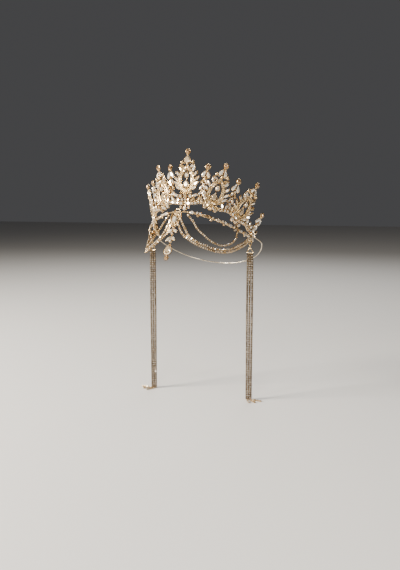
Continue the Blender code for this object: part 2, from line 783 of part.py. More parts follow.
def make_crown():
    shapes = [base_band()]
    for motif in MOTIFS:
        matrix = motif_matrix(motif)
        shapes += [placed(shape, matrix) for shape in motif_shapes(motif)]
    for spike in SPIKES:
        matrix = spike_matrix(spike)
        shapes += [placed(shape, matrix) for shape in spike_shapes(spike)]
    fused("crown_frame", shapes, metal("crown_frame"))


def make_crown_stones():
    """Beads on the tips, and the main stones inside the motifs."""
    for row, matrix_of in ((MOTIFS, motif_matrix), (SPIKES, spike_matrix)):
        for item in row:
            name = "top_bead_" + item["name"]
            bead = placed(ball(BEAD_RADIUS, BEAD_RINGS), matrix_of(item) @ at(0.0, item["height"]))
            new_object(name, bead, crystal(name))
    stone_back = SPINE_FRONT + GAP
    for motif in MOTIFS:
        matrix = motif_matrix(motif)
        height = motif["height"]
        name = "teardrop_" + motif["name"]
        drop = main_stone("pear", TEARDROP_WIDTH, TEARDROP_LENGTH, stone_back)
        new_object(name, placed(drop, matrix @ at(0.0, height - TEARDROP_BELOW)), crystal(name))
        name = "upper_stone_" + motif["name"]
        upper = main_stone("round", UPPER_STONE_WIDTH, UPPER_STONE_LENGTH, stone_back)
        new_object(name, placed(upper, matrix @ at(0.0, height - UPPER_STONE_BELOW)), crystal(name))
        if motif["pear"]:
            crest = main_stone("pear", CREST_PEAR_WIDTH, CREST_PEAR_LENGTH, SPINE_FRONT * 0.5 + GAP)
            crest_place = matrix @ at(0.0, height - CREST_PEAR_BELOW)
            new_object("crest_pear", placed(crest, crest_place), crystal("crest_pear"))


# Plaque and forehead drop

def plaque_matrix():
    return skin_matrix(PLAQUE_ANGLE, 0.0, PLAQUE_STAND_OFF)


def hinge_level():
    """Height of the drop's hinge in the plaque's plane: the lowest wire of the plaque's eyelet."""
    return -PLAQUE_DROP - PLAQUE_LENGTH / 2.0 - 2.0 * EYELET_RADIUS + EYELET_WIRE


def make_plaque():
    half_bar = BAR_LENGTH / 2.0
    half_plate = PLAQUE_THICKNESS / 2.0
    bar_low = -BAR_DROP - BAR_HEIGHT / 2.0
    bar_high = -BAR_DROP + BAR_HEIGHT / 2.0
    plate = loft([outline("round", PLAQUE_WIDTH, PLAQUE_LENGTH, PLAQUE_SIDES, level)
                  for level in (-half_plate, half_plate)])
    rim_width = PLAQUE_WIDTH - 2.0 * PLAQUE_RIM_WALL
    rim_length = PLAQUE_LENGTH - 2.0 * PLAQUE_RIM_WALL
    rim = outline_wall("round", rim_width, rim_length, PLAQUE_RIM_WALL * 0.96, 0.0,
                       half_plate + PLAQUE_RIM_HEIGHT, PLAQUE_SIDES)
    arch = []
    for step in range(ARCH_STEPS + 1):
        turn = math.pi * step / ARCH_STEPS
        point = Vector((ARCH_RADIUS * math.cos(turn), ARCH_RADIUS * math.sin(turn), 0.0))
        arch.append(point + Vector((0.0, -BAR_DROP, 0.0)))
    outs = [(point + Vector((0.0, BAR_DROP, 0.0))).normalized() for point in arch]
    face = Vector((0.0, 0.0, 1.0))
    arch_bar = swept_bar(arch, outs, [face] * len(arch), PLAQUE_RIM_WALL, PLAQUE_THICKNESS * 0.9)
    eyelet_centre = Vector((0.0, hinge_level() + EYELET_RADIUS, 0.0))
    eyelet = oval_ring(eyelet_centre, Vector((0.0, 1.0, 0.0)), Vector((1.0, 0.0, 0.0)),
                       EYELET_RADIUS, EYELET_RADIUS, EYELET_WIRE)
    shapes = [placed(plate, at(0.0, -PLAQUE_DROP)), placed(rim, at(0.0, -PLAQUE_DROP)), arch_bar, eyelet]
    shapes.append(block((-half_bar, half_bar), (bar_low, bar_high), (-half_plate * 0.8, half_plate * 1.2)))
    neck_half = PLAQUE_WIDTH / 3.0
    neck_low = -PLAQUE_DROP + PLAQUE_LENGTH / 2.0 - PLAQUE_LENGTH / 8.0
    shapes.append(block((-neck_half, neck_half), (neck_low, -BAR_DROP), (-half_plate * 0.7, half_plate * 0.9)))
    for side in (-1.0, 1.0):
        for centre in plaque_lugs(side):
            shapes.append(placed(ball(LUG_RADIUS), at(centre.x, centre.y)))
            reach = sorted((centre.x, side * PLAQUE_WIDTH * 0.3))
            half_lug = LUG_RADIUS / 2.0
            shapes.append(block(reach, (centre.y - half_lug, centre.y + half_lug),
                                (-half_plate * 0.5, half_plate * 0.6)))
    matrix = plaque_matrix()
    fused("plaque", [placed(shape, matrix) for shape in shapes], metal("plaque"))
    stone = main_stone("round", PLAQUE_STONE_WIDTH, PLAQUE_STONE_LENGTH, half_plate + GAP)
    new_object("plaque_stone", placed(stone, matrix @ at(0.0, -PLAQUE_DROP)), crystal("plaque_stone"))


def plaque_lugs(side):
    """Centres of the beads at the plaque's side that carry a double chain, upper one first."""
    centres = []
    for offset in PLAQUE_LUG_DROPS:
        share = min(abs(offset) / (PLAQUE_LENGTH / 2.0), 1.0)
        edge = PLAQUE_WIDTH / 2.0 * math.sqrt(1.0 - share ** 2)
        centres.append(Vector((side * (edge + LUG_RADIUS * 0.6), -PLAQUE_DROP - offset, 0.0)))
    return centres


def make_forehead_drop():
    hinge = hinge_level()
    ring_centre = hinge - (EYELET_RADIUS - 2.0 * EYELET_WIRE - LINK_PLAY)
    ring = oval_ring(Vector((0.0, ring_centre, 0.0)), Vector((0.0, 1.0, 0.0)), Vector((0.0, 0.0, 1.0)),
                     EYELET_RADIUS, EYELET_RADIUS, EYELET_WIRE)
    half_plate = DROP_PLATE_THICKNESS / 2.0
    half_stem = NECK_WIDTH / 2.0
    stem_top = ring_centre - EYELET_RADIUS
    stone_level = hinge - DROP_STONE_DOWN
    end_level = drop_end_level(hinge)
    shapes = [ring, block((-half_stem, half_stem), (end_level, stem_top), (-half_plate * 0.8, half_plate * 0.8))]
    for row in DROP_ROWS:
        for side in (-1.0, 1.0):
            place = at(side * DROP_LEAF_SPREAD, hinge - row["leaf"], turn=-side * DROP_LEAF_TILT)
            shapes.append(placed(small_stone("marquise", DROP_LEAF_WIDTH, DROP_LEAF_LENGTH), place))
        shapes.append(placed(ball(DROP_BEAD_RADIUS), at(0.0, hinge - row["bead"])))
    plate_width = DROP_STONE_WIDTH + 2.0 * DROP_RIM
    plate_length = DROP_STONE_LENGTH + 2.0 * DROP_RIM
    plate = loft([outline("pear", plate_width, plate_length, PLAQUE_SIDES, level)
                  for level in (-half_plate, half_plate)])
    rim = outline_wall("pear", DROP_STONE_WIDTH + 2.0 * GAP, DROP_STONE_LENGTH + 2.0 * GAP,
                       (DROP_RIM - GAP) * 0.96, 0.0, half_plate + PLAQUE_RIM_HEIGHT, PLAQUE_SIDES)
    shapes += [placed(plate, at(0.0, stone_level)), placed(rim, at(0.0, stone_level))]
    end_plate = loft([outline("round", DROP_END_STONE_SIZE + GAP, DROP_END_STONE_SIZE + GAP, BEAD_SIDES, level)
                      for level in (-half_plate * 0.9, half_plate * 0.7)])
    shapes.append(placed(end_plate, at(0.0, end_level)))
    matrix = plaque_matrix()
    fused("drop_frame", [placed(shape, matrix) for shape in shapes], metal("drop_frame"))
    stone = main_stone("pear", DROP_STONE_WIDTH, DROP_STONE_LENGTH, half_plate + GAP)
    new_object("drop_stone", placed(stone, matrix @ at(0.0, stone_level)), crystal("drop_stone"))
    end_stone = main_stone("round", DROP_END_STONE_SIZE, DROP_END_STONE_SIZE, half_plate + GAP)
    new_object("drop_end_stone", placed(end_stone, matrix @ at(0.0, end_level)), crystal("drop_end_stone"))


def drop_end_level(hinge):
    """Height of the small stone under the big teardrop, clear of its rim."""
    foot = hinge - DROP_STONE_DOWN - DROP_STONE_LENGTH / 2.0 - DROP_RIM
    return foot - DROP_END_STONE_SIZE / 2.0 - GAP


# Festoon, end clusters and chains

def cluster_matrix(side):
    return skin_matrix(side * END_CLUSTER_ANGLE, END_CLUSTER_DROP, END_CLUSTER_STAND_OFF)


def cluster_eyelet(side):
    """Centre of the eyelet that carries the tassel."""
    level = -END_CLUSTER_RADIUS - LEAF_LENGTH * 0.55
    return cluster_matrix(side) @ Vector((0.0, level, 0.0))


def cluster_lugs(side):
    """Centres of the beads that carry the double chain's two rows, upper one first."""
    matrix = cluster_matrix(side)
    return [matrix @ Vector((-side * lug["forward"], -lug["down"], 0.0)) for lug in CLUSTER_LUGS]


def make_end_cluster(side, label):
    matrix = cluster_matrix(side)
    half_plate = END_CLUSTER_PLATE / 2.0
    plate_size = 2.0 * END_CLUSTER_RADIUS
    plate = loft([outline("round", plate_size, plate_size, BEAD_SIDES, level) for level in (-half_plate, half_plate)])
    shapes = [placed(plate, matrix)]
    shapes.append(placed(small_stone("round", END_CLUSTER_STONE_SIZE, END_CLUSTER_STONE_SIZE),
                         matrix @ at(0.0, END_CLUSTER_RADIUS * 0.2, half_plate)))
    for turn in (-1.0, 1.0):
        leaf = small_stone("marquise", LEAF_WIDTH, LEAF_LENGTH)
        shapes.append(placed(leaf, matrix @ at(turn * LEAF_WIDTH * 0.55, -END_CLUSTER_RADIUS, 0.0,
                                               -turn * END_CLUSTER_LEAF_TILT)))
    for lug in CLUSTER_LUGS:
        centre = Vector((-side * lug["forward"], -lug["down"], 0.0))
        root = Vector((-side * lug["root_forward"], -lug["root_down"], 0.0))
        shapes.append(placed(ball(LUG_RADIUS), matrix @ Matrix.Translation(centre)))
        shapes.append(placed(arm(centre, root, END_CLUSTER_PLATE, END_CLUSTER_PLATE * 0.7), matrix))
    stem_low = -END_CLUSTER_RADIUS - LEAF_LENGTH * 0.55 + EYELET_RADIUS - EYELET_WIRE
    shapes.append(placed(block((-half_plate, half_plate), (stem_low, 0.0), (-half_plate * 0.8, half_plate * 0.8)),
                         matrix))
    shapes.append(eyelet_at(side))
    name = "end_cluster_" + label
    fused(name, shapes, metal(name))


def eyelet_at(side):
    """Eyelet that hangs upright under an end cluster, seen from the side of the head."""
    return oval_ring(cluster_eyelet(side), Vector((0.0, 0.0, 1.0)), Vector((0.0, 1.0, 0.0)),
                     EYELET_RADIUS, EYELET_RADIUS, EYELET_WIRE)


def festoon_route(side):
    """Points of the festoon from the plaque's bar to the end cluster."""
    start = plaque_matrix() @ Vector((side * (BAR_LENGTH / 2.0 + 2.0 * GAP), -BAR_DROP, 0.0))
    route = [start]
    for row in FESTOON_ROUTE:
        route.append(head_point(share_angle(side, row["share"]), row["drop"], FESTOON_STAND_OFF))
    centre = cluster_matrix(side) @ Vector((0.0, 0.0, 0.0))
    away = (route[-1] - centre).normalized()
    reach = END_CLUSTER_RADIUS + 3.0 * GAP
    route.append(centre + away * reach)
    return route


def festoon_point(side, share):
    """Middle of the festoon at a share of the way round, and the matrix of its face there."""
    angle = share_angle(side, share)
    shares = [0.0] + [row["share"] for row in FESTOON_ROUTE] + [1.0]
    drops = [BAR_DROP] + [row["drop"] for row in FESTOON_ROUTE] + [END_CLUSTER_DROP + END_CLUSTER_RADIUS]
    for index in range(len(shares) - 1):
        if shares[index] <= share <= shares[index + 1]:
            part = (share - shares[index]) / (shares[index + 1] - shares[index])
            drop = drops[index] + part * (drops[index + 1] - drops[index])
    return skin_matrix(angle, drop, FESTOON_STAND_OFF)


def festoon_lug(side, share):
    """Centre of the bead under the festoon that carries one end of the single chain."""
    return festoon_point(side, share) @ Vector((0.0, -LUG_DROP, 0.0))


def make_festoon(side, label):
    """Bar of stones under the crown: three-stone clusters with ovals between them."""
    _, _, up = base_axes()
    points = smooth_route(festoon_route(side), FESTOON_POINT_PITCH)
    outs = []
    for point in points:
        level = point - up * point.dot(up)
        outs.append(level.normalized())
    shapes = [swept_bar(points, [up] * len(points), outs, FESTOON_HEIGHT, FESTOON_THICKNESS)]
    step = (FESTOON_LAST_SHARE - FESTOON_FIRST_SHARE) / (FESTOON_UNITS - 1)
    for unit in range(FESTOON_UNITS):
        matrix = festoon_point(side, FESTOON_FIRST_SHARE + step * unit)
        if unit % 2 == 0:
            oval = small_stone("round", FESTOON_OVAL_WIDTH, FESTOON_OVAL_LENGTH)
            shapes.append(placed(oval, matrix @ at(0.0, 0.0, FESTOON_THICKNESS / 2.0, math.radians(90.0))))
            continue
        top = STONE_BACK + SMALL_STONE_HEIGHT
        cluster = loft([trefoil(FESTOON_TREFOIL_SIZE, STONE_BACK), trefoil(FESTOON_TREFOIL_SIZE * TABLE_SHARE, top)])
        shapes.append(placed(cluster, matrix @ at(0.0, 0.0, FESTOON_THICKNESS / 2.0)))
    for share in (SINGLE_START_SHARE, SINGLE_END_SHARE):
        shapes.append(placed(ball(LUG_RADIUS), Matrix.Translation(festoon_lug(side, share))))
        foot = Vector((0.0, -LUG_DROP, 0.0))
        neck = arm(foot, Vector((0.0, 0.0, 0.0)), FESTOON_THICKNESS, FESTOON_THICKNESS * 0.9)
        shapes.append(placed(neck, festoon_point(side, share)))
    name = "festoon_" + label
    fused(name, shapes, metal(name))


def hung_between(route, first_lug, last_lug):
    """Complete a route so that it starts and ends just clear of the two beads that carry it."""
    reach = LUG_RADIUS + GAP
    start = first_lug + (route[0] - first_lug).normalized() * reach
    stop = last_lug + (route[-1] - last_lug).normalized() * reach
    return [start] + route + [stop]


def make_single_chain(side, label):
    route = []
    for row in SINGLE_CHAIN_ROUTE:
        route.append(head_point(share_angle(side, row["share"]), row["drop"], CHAIN_STAND_OFF))
    lugs = [festoon_lug(side, SINGLE_START_SHARE), festoon_lug(side, SINGLE_END_SHARE)]
    points = smooth_route(hung_between(route, *lugs), CHAIN_POINT_PITCH * CHAIN_DIAMETER)
    chain_tube("single_chain_" + label, points)


def make_double_chain(side, label):
    """Two rows of chain side by side, which part towards the plaque."""
    _, _, up = base_axes()
    middle = []
    for row in DOUBLE_CHAIN_ROUTE:
        middle.append(head_point(share_angle(side, row["share"]), row["drop"], CHAIN_STAND_OFF))
    starts = [plaque_matrix() @ centre for centre in plaque_lugs(side)]
    stops = cluster_lugs(side)
    for index, (sign, part) in enumerate(((1.0, "upper"), (-1.0, "lower"))):
        route = []
        for place, row in enumerate(DOUBLE_CHAIN_ROUTE):
            before = middle[max(place - 1, 0)]
            after = middle[min(place + 1, len(middle) - 1)]
            out = outward_at(share_angle(side, row["share"]))
            across = out.cross(after - before).normalized() * side
            route.append(middle[place] + across * (sign * row["apart"] / 2.0))
        points = smooth_route(hung_between(route, starts[index], stops[index]), CHAIN_POINT_PITCH * CHAIN_DIAMETER)
        chain_tube("double_chain_{}_{}".format(part, label), points)


# Tassels

def link_centre(side, count):
    """Centre of the link that hangs count places under the cluster's eyelet."""
    first = EYELET_RADIUS - 2.0 * EYELET_WIRE - LINK_PLAY + LINK_HALF_LENGTH
    pitch = 2.0 * LINK_HALF_LENGTH - 2.0 * EYELET_WIRE - LINK_PLAY
    return cluster_eyelet(side) - Vector((0.0, 0.0, first + pitch * (count - 1)))


def tassel_ring_top(side):
    """Centre of the top wire of the three-cornered ring."""
    hang = LINK_HALF_LENGTH - 2.0 * EYELET_WIRE - LINK_PLAY
    return link_centre(side, LINKS) - Vector((0.0, 0.0, hang))


def tassel_bar_level(side):
    return tassel_ring_top(side).z - TASSEL_RING_HEIGHT


def make_tassel_links(side, label):
    down = Vector((0.0, 0.0, 1.0))
    for count in range(1, LINKS + 1):
        wide = Vector((1.0, 0.0, 0.0)) if count % 2 else Vector((0.0, 1.0, 0.0))
        name = "tassel_link_{}_{}".format(count, label)
        link = oval_ring(link_centre(side, count), down, wide, LINK_HALF_LENGTH, LINK_HALF_WIDTH, EYELET_WIRE)
        new_object(name, link, metal(name))


def make_tassel_ring(side, label):
    """Three-cornered ring with its corners cut, point up."""
    top = tassel_ring_top(side)
    half = TASSEL_RING_WIDTH / 2.0
    corner = 0.14 * TASSEL_RING_WIDTH
    outline_points = []
    for x, z in ((0.0, 0.0), (corner, -0.3 * corner), (half, corner - TASSEL_RING_HEIGHT),
                 (half - corner, -TASSEL_RING_HEIGHT), (0.0, -TASSEL_RING_HEIGHT),
                 (corner - half, -TASSEL_RING_HEIGHT), (-half, corner - TASSEL_RING_HEIGHT),
                 (-corner, -0.3 * corner)):
        outline_points.append(top + Vector((x, 0.0, z)))
    name = "tassel_ring_" + label
    new_object(name, wire_ring(outline_points, Vector((0.0, 1.0, 0.0)), EYELET_WIRE), metal(name))


def strand_x(index):
    """Place of a strand across the tassel, from the inner one to the outer one."""
    return (index - (TASSEL_STRANDS - 1) / 2.0) * TASSEL_STRAND_PITCH


def make_tassel(side, label):
    """Head bar with the strands as long thin strips, side by side."""
    top = tassel_bar_level(side) - EYELET_WIRE - GAP
    foot = TASSEL_FOOT + TAIL_BAR_HEIGHT + GAP
    middle = tassel_ring_top(side)
    half_head = TASSEL_HEAD_WIDTH / 2.0
    half_depth = CHAIN_DEPTH / 2.0
    head = block((middle.x - half_head, middle.x + half_head), (middle.y - half_depth * 1.1,
                 middle.y + half_depth * 1.1), (top - TASSEL_HEAD_HEIGHT, top))
    shapes = [head]
    across = Vector((1.0, 0.0, 0.0))
    depth = Vector((0.0, 1.0, 0.0))
    for index in range(TASSEL_STRANDS):
        x = middle.x + side * strand_x(index)
        bow = side * (index - (TASSEL_STRANDS - 1) / 2.0) * TASSEL_STRAND_BOW
        strip_top = top - TASSEL_HEAD_HEIGHT / 2.0
        points = []
        for row in STRAND_SWAYS:
            points.append(Vector((x + bow * row["sway"], middle.y, strip_top + (foot - strip_top) * row["share"])))
        count = len(points)
        shapes.append(swept_bar(points, [across] * count, [depth] * count, CHAIN_DIAMETER, CHAIN_DEPTH))
    name = "tassel_" + label
    fused(name, shapes, chain_metal(name))


def tail_sections():
    """Place along a tail and width of each section: a foot under the strand, then stones with necks between."""
    sections = [dict(x=TAIL_BAR_START, width=TAIL_BAR_WIDTH), dict(x=TAIL_FIRST - TAIL_STONE_LENGTH / 2.0,
                                                                  width=TAIL_BAR_WIDTH)]
    for stone in range(TAIL_STONES):
        middle = TAIL_FIRST + TAIL_PITCH * stone
        shoulder = TAIL_STONE_LENGTH / 6.0
        sections.append(dict(x=middle - shoulder, width=TAIL_STONE_WIDTH))
        sections.append(dict(x=middle + shoulder, width=TAIL_STONE_WIDTH))
        sections.append(dict(x=middle + TAIL_PITCH / 2.0, width=TAIL_BAR_WIDTH))
    return sections


def make_tassel_tails(side, label):
    """Leaf stones that end each strand and lie flat, fanned outwards."""
    middle = tassel_ring_top(side)
    for index in range(TASSEL_STRANDS):
        start = Vector((middle.x + side * strand_x(index), middle.y, TASSEL_FOOT))
        turn = TAIL_TURNS[index] if side > 0.0 else math.pi - TAIL_TURNS[index]
        matrix = Matrix.Translation(start) @ Matrix.Rotation(turn, 4, "Z")
        rings = []
        for section in tail_sections():
            wide = section["width"] > TAIL_BAR_WIDTH
            top = TAIL_STONE_HEIGHT if wide else TAIL_BAR_HEIGHT
            half = section["width"] / 2.0
            table = half * TABLE_SHARE
            corners = ((-half, 0.0), (half, 0.0), (table, top), (-table, top))
            rings.append([Vector((section["x"], y, z)) for y, z in corners])
        name = "tassel_tail_{}_{}".format(index + 1, label)
        new_object(name, placed(loft(rings), matrix), metal(name))


def make_back_wire():
    """Thin wire from one end of the crown to the other, round the back of the head."""
    start = CROWN_END_ANGLE
    stop = 2.0 * math.pi - CROWN_END_ANGLE
    points = []
    for step in range(BACK_WIRE_STEPS + 1):
        angle = start + (stop - start) * step / BACK_WIRE_STEPS
        rise = min(angle - start, stop - angle) / BACK_WIRE_BLEND
        rise = min(rise, 1.0)
        grow = BACK_WIRE_GROW * rise * rise * (3.0 - 2.0 * rise)
        points.append(head_point(angle, 0.0, grow))
    points[0] += along_at(start) * GAP
    points[-1] -= along_at(stop) * GAP
    _, _, up = base_axes()
    rings = []
    for index, point in enumerate(points):
        direction = points[min(index + 1, BACK_WIRE_STEPS)] - points[max(index - 1, 0)]
        side = direction.cross(up).normalized()
        turns = [2.0 * math.pi * corner / WIRE_SIDES for corner in range(WIRE_SIDES)]
        rings.append([point + (side * math.cos(t) + up * math.sin(t)) * BACK_WIRE_RADIUS for t in turns])
    new_object("back_wire", loft(rings), metal("back_wire"))


def main():
    clear_scene()
    make_crown()
    make_crown_stones()
    make_plaque()
    make_forehead_drop()
    for side, label in ((1.0, "right"), (-1.0, "left")):
        make_festoon(side, label)
        make_end_cluster(side, label)
        make_single_chain(side, label)
        make_double_chain(side, label)
        make_tassel_links(side, label)
        make_tassel_ring(side, label)
        make_tassel(side, label)
        make_tassel_tails(side, label)
    make_back_wire()


main()
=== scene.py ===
# %% [markdown]
# # A bridal crown with chains and tassels
# The real crown is a cast, pale gold plated frame. Hundreds of cut stones sit in small settings on it, rows
# of stone chain hang under it in swags, and a long tassel falls from each end. The solids that carry the
# sizes come packed, so this lesson only dresses them. Each part is built once as a small pattern, and the
# pattern is then stamped wherever the crown repeats it.

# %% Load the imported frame
import math
import random

import bmesh
import bpy
from mathutils import Matrix, Vector


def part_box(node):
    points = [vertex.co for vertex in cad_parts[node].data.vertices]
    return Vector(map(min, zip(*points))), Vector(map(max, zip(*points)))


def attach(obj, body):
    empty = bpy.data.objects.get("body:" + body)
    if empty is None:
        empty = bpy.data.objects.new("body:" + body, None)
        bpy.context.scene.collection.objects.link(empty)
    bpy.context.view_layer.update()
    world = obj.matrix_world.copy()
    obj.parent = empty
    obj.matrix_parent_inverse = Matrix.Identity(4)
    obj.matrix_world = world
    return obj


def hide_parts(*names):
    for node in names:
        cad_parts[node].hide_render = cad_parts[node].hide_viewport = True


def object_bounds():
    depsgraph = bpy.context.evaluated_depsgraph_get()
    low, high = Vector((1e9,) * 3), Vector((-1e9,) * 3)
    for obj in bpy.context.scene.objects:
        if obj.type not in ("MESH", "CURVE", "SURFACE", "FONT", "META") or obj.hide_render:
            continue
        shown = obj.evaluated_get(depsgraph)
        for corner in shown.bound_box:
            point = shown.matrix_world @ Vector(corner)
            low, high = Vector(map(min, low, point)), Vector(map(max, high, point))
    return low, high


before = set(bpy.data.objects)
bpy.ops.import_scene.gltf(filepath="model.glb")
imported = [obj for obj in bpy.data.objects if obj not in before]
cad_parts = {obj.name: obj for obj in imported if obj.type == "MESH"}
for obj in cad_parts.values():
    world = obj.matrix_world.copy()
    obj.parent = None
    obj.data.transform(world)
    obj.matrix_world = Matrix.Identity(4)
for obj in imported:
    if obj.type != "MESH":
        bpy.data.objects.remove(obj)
cad_low, cad_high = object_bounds()
CROWN = "crown"
DROP = "forehead_drop"
print("nodes", len(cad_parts), "box in mm", [round(1000 * v) for v in cad_high - cad_low])

# %% [markdown]
# ## Camera
# The photograph looks at the crown from the wearer's left, a little above it. The place and direction come
# from the tips of the crown, whose real places are known. The long side of the picture is its height, so
# the lens is stated for that side.

# %% Camera
CAMERA_PLACE = Vector((0.3288, -0.8225, 0.0472))
CAMERA_LOOKS = Vector((-0.376, 0.917, -0.134))
SENSOR = 36.0
LENS = 37.9

camera_data = bpy.data.cameras.new("camera")
camera_data.sensor_width = SENSOR
camera_data.lens = LENS
camera_data.clip_start = 0.01
camera = bpy.data.objects.new("camera", camera_data)
camera.location = CAMERA_PLACE
camera.rotation_mode = "QUATERNION"
camera.rotation_quaternion = CAMERA_LOOKS.to_track_quat("-Z", "Y")
bpy.context.scene.collection.objects.link(camera)
bpy.context.scene.camera = camera
print("camera looks down by", round(math.degrees(math.asin(-CAMERA_LOOKS.normalized().z)), 1), "degrees")

# %% [markdown]
# ## Floor and studio light
# Polished metal and cut stones show what stands around them, so the lights are part of their finish. One
# large soft lamp gives the broad highlight, and a few small ones make the short bright glints that cut
# stones live from. The floor is pale and matte, and it isn't part of the crown.

# %% Floor and lights
FLOOR_LEVEL = cad_low.z
FLOOR_DROP = 0.0003
FLOOR_SIZE = 14.0


def plain_material(name, colour, roughness):
    """A Principled material with a plain colour."""
    material = bpy.data.materials.new(name)
    material.use_nodes = True
    shader = material.node_tree.nodes["Principled BSDF"]
    shader.inputs["Base Color"].default_value = colour
    shader.inputs["Roughness"].default_value = roughness
    return material


def make_floor():
    """A wide pale floor under the tassels."""
    shape = bmesh.new()
    bmesh.ops.create_grid(shape, x_segments=1, y_segments=1, size=FLOOR_SIZE / 2.0)
    bmesh.ops.translate(shape, verts=shape.verts, vec=(0.0, 0.0, FLOOR_LEVEL - FLOOR_DROP))
    mesh = bpy.data.meshes.new("floor")
    shape.to_mesh(mesh)
    shape.free()
    mesh.materials.append(plain_material("Pale_floor", (0.62, 0.60, 0.57, 1.0), 0.7))
    floor = bpy.data.objects.new("floor", mesh)
    bpy.context.scene.collection.objects.link(floor)
    return floor


def make_lamp(name, place, aim, size, power, colour=(1.0, 1.0, 1.0)):
    """A square lamp that faces a point."""
    lamp = bpy.data.lights.new(name, "AREA")
    lamp.size = size
    lamp.energy = power
    lamp.color = colour
    holder = bpy.data.objects.new(name, lamp)
    holder.location = place
    holder.rotation_mode = "QUATERNION"
    holder.rotation_quaternion = (Vector(aim) - Vector(place)).to_track_quat("-Z", "Y")
    bpy.context.scene.collection.objects.link(holder)
    return holder


LAMP_AIM = (0.0, -0.02, 0.03)
LAMPS = [
    dict(name="key", place=(-1.35, -1.05, 0.85), size=0.6, power=113.0, colour=(1.0, 0.93, 0.82)),
    dict(name="fill", place=(1.4, -1.0, 0.6), size=0.6, power=2.3, colour=(1.0, 0.95, 0.88)),
    dict(name="back", place=(-0.3, 1.4, 1.3), size=0.9, power=18.0, colour=(0.95, 0.97, 1.0)),
    dict(name="glint_left", place=(-0.5, -1.1, 0.35), size=0.16, power=5.0, colour=(1.0, 1.0, 1.0)),
    dict(name="glint_front", place=(0.25, -1.2, 0.75), size=0.16, power=4.0, colour=(1.0, 1.0, 1.0)),
    dict(name="glint_right", place=(1.0, -0.8, 0.25), size=0.16, power=2.0, colour=(1.0, 0.98, 0.94)),
    dict(name="glint_low", place=(0.8, -1.0, -0.05), size=0.16, power=2.0, colour=(1.0, 0.97, 0.92)),
    dict(name="glint_far_right", place=(1.5, -0.3, 0.5), size=0.20, power=2.0, colour=(1.0, 0.98, 0.94)),
    dict(name="glint_far_left", place=(-1.4, -0.5, 0.4), size=0.20, power=9.0, colour=(1.0, 1.0, 1.0)),
    dict(name="glint_top", place=(0.1, -0.7, 1.4), size=0.20, power=5.0, colour=(1.0, 1.0, 1.0)),
]

floor = make_floor()
for lamp in LAMPS:
    make_lamp(lamp["name"], lamp["place"], LAMP_AIM, lamp["size"], lamp["power"], lamp["colour"])

world = bpy.data.worlds.new("studio")
world.use_nodes = True
world.node_tree.nodes["Background"].inputs["Color"].default_value = (0.13, 0.13, 0.135, 1.0)
world.node_tree.nodes["Background"].inputs["Strength"].default_value = 0.5
bpy.context.scene.world = world
print("lamps", len(LAMPS), "floor at", round(FLOOR_LEVEL, 4))

# %% [markdown]
# ## Plated metal
# The plating is one pale champagne gold. One node group mixes it in soft random patches with a darker,
# rosier painted shade, varies the roughness in finer patches, and gives the polish a fine grain, all from a
# place in the metal. Each metal gives it its own bright colour and its own painted shade colour.

# %% Node group for plated metal


def new_group(name, inputs, outputs):
    """An empty shader node group with named sockets."""
    group = bpy.data.node_groups.new(name, "ShaderNodeTree")
    for label, kind, value in inputs:
        socket = group.interface.new_socket(name=label, in_out="INPUT", socket_type=kind)
        socket.default_value = value
    for label, kind in outputs:
        group.interface.new_socket(name=label, in_out="OUTPUT", socket_type=kind)
    return group


def add_node(tree, kind, place, **settings):
    """A node at a place in the editor, with its settings."""
    node = tree.nodes.new(kind)
    node.location = place
    for setting, value in settings.items():
        setattr(node, setting, value)
    return node


def noise_mask(tree, coordinates, place, scale, detail, low, high):
    """Noise, stretched so that it runs from 0 to 1 between two of its levels."""
    noise = add_node(tree, "ShaderNodeTexNoise", place)
    noise.inputs["Scale"].default_value = scale
    noise.inputs["Detail"].default_value = detail
    tree.links.new(coordinates, noise.inputs["Vector"])
    spread = add_node(tree, "ShaderNodeMapRange", (place[0] + 200, place[1]))
    spread.inputs["From Min"].default_value = low
    spread.inputs["From Max"].default_value = high
    tree.links.new(noise.outputs["Fac"], spread.inputs["Value"])
    return spread.outputs["Result"]


def colour_mix(tree, mask, first, second, place):
    """First colour where the mask is 0, second where it is 1."""
    mix = add_node(tree, "ShaderNodeMix", place, data_type="RGBA")
    tree.links.new(mask, mix.inputs["Factor"])
    tree.links.new(first, mix.inputs[6])
    tree.links.new(second, mix.inputs[7])
    return mix.outputs[2]


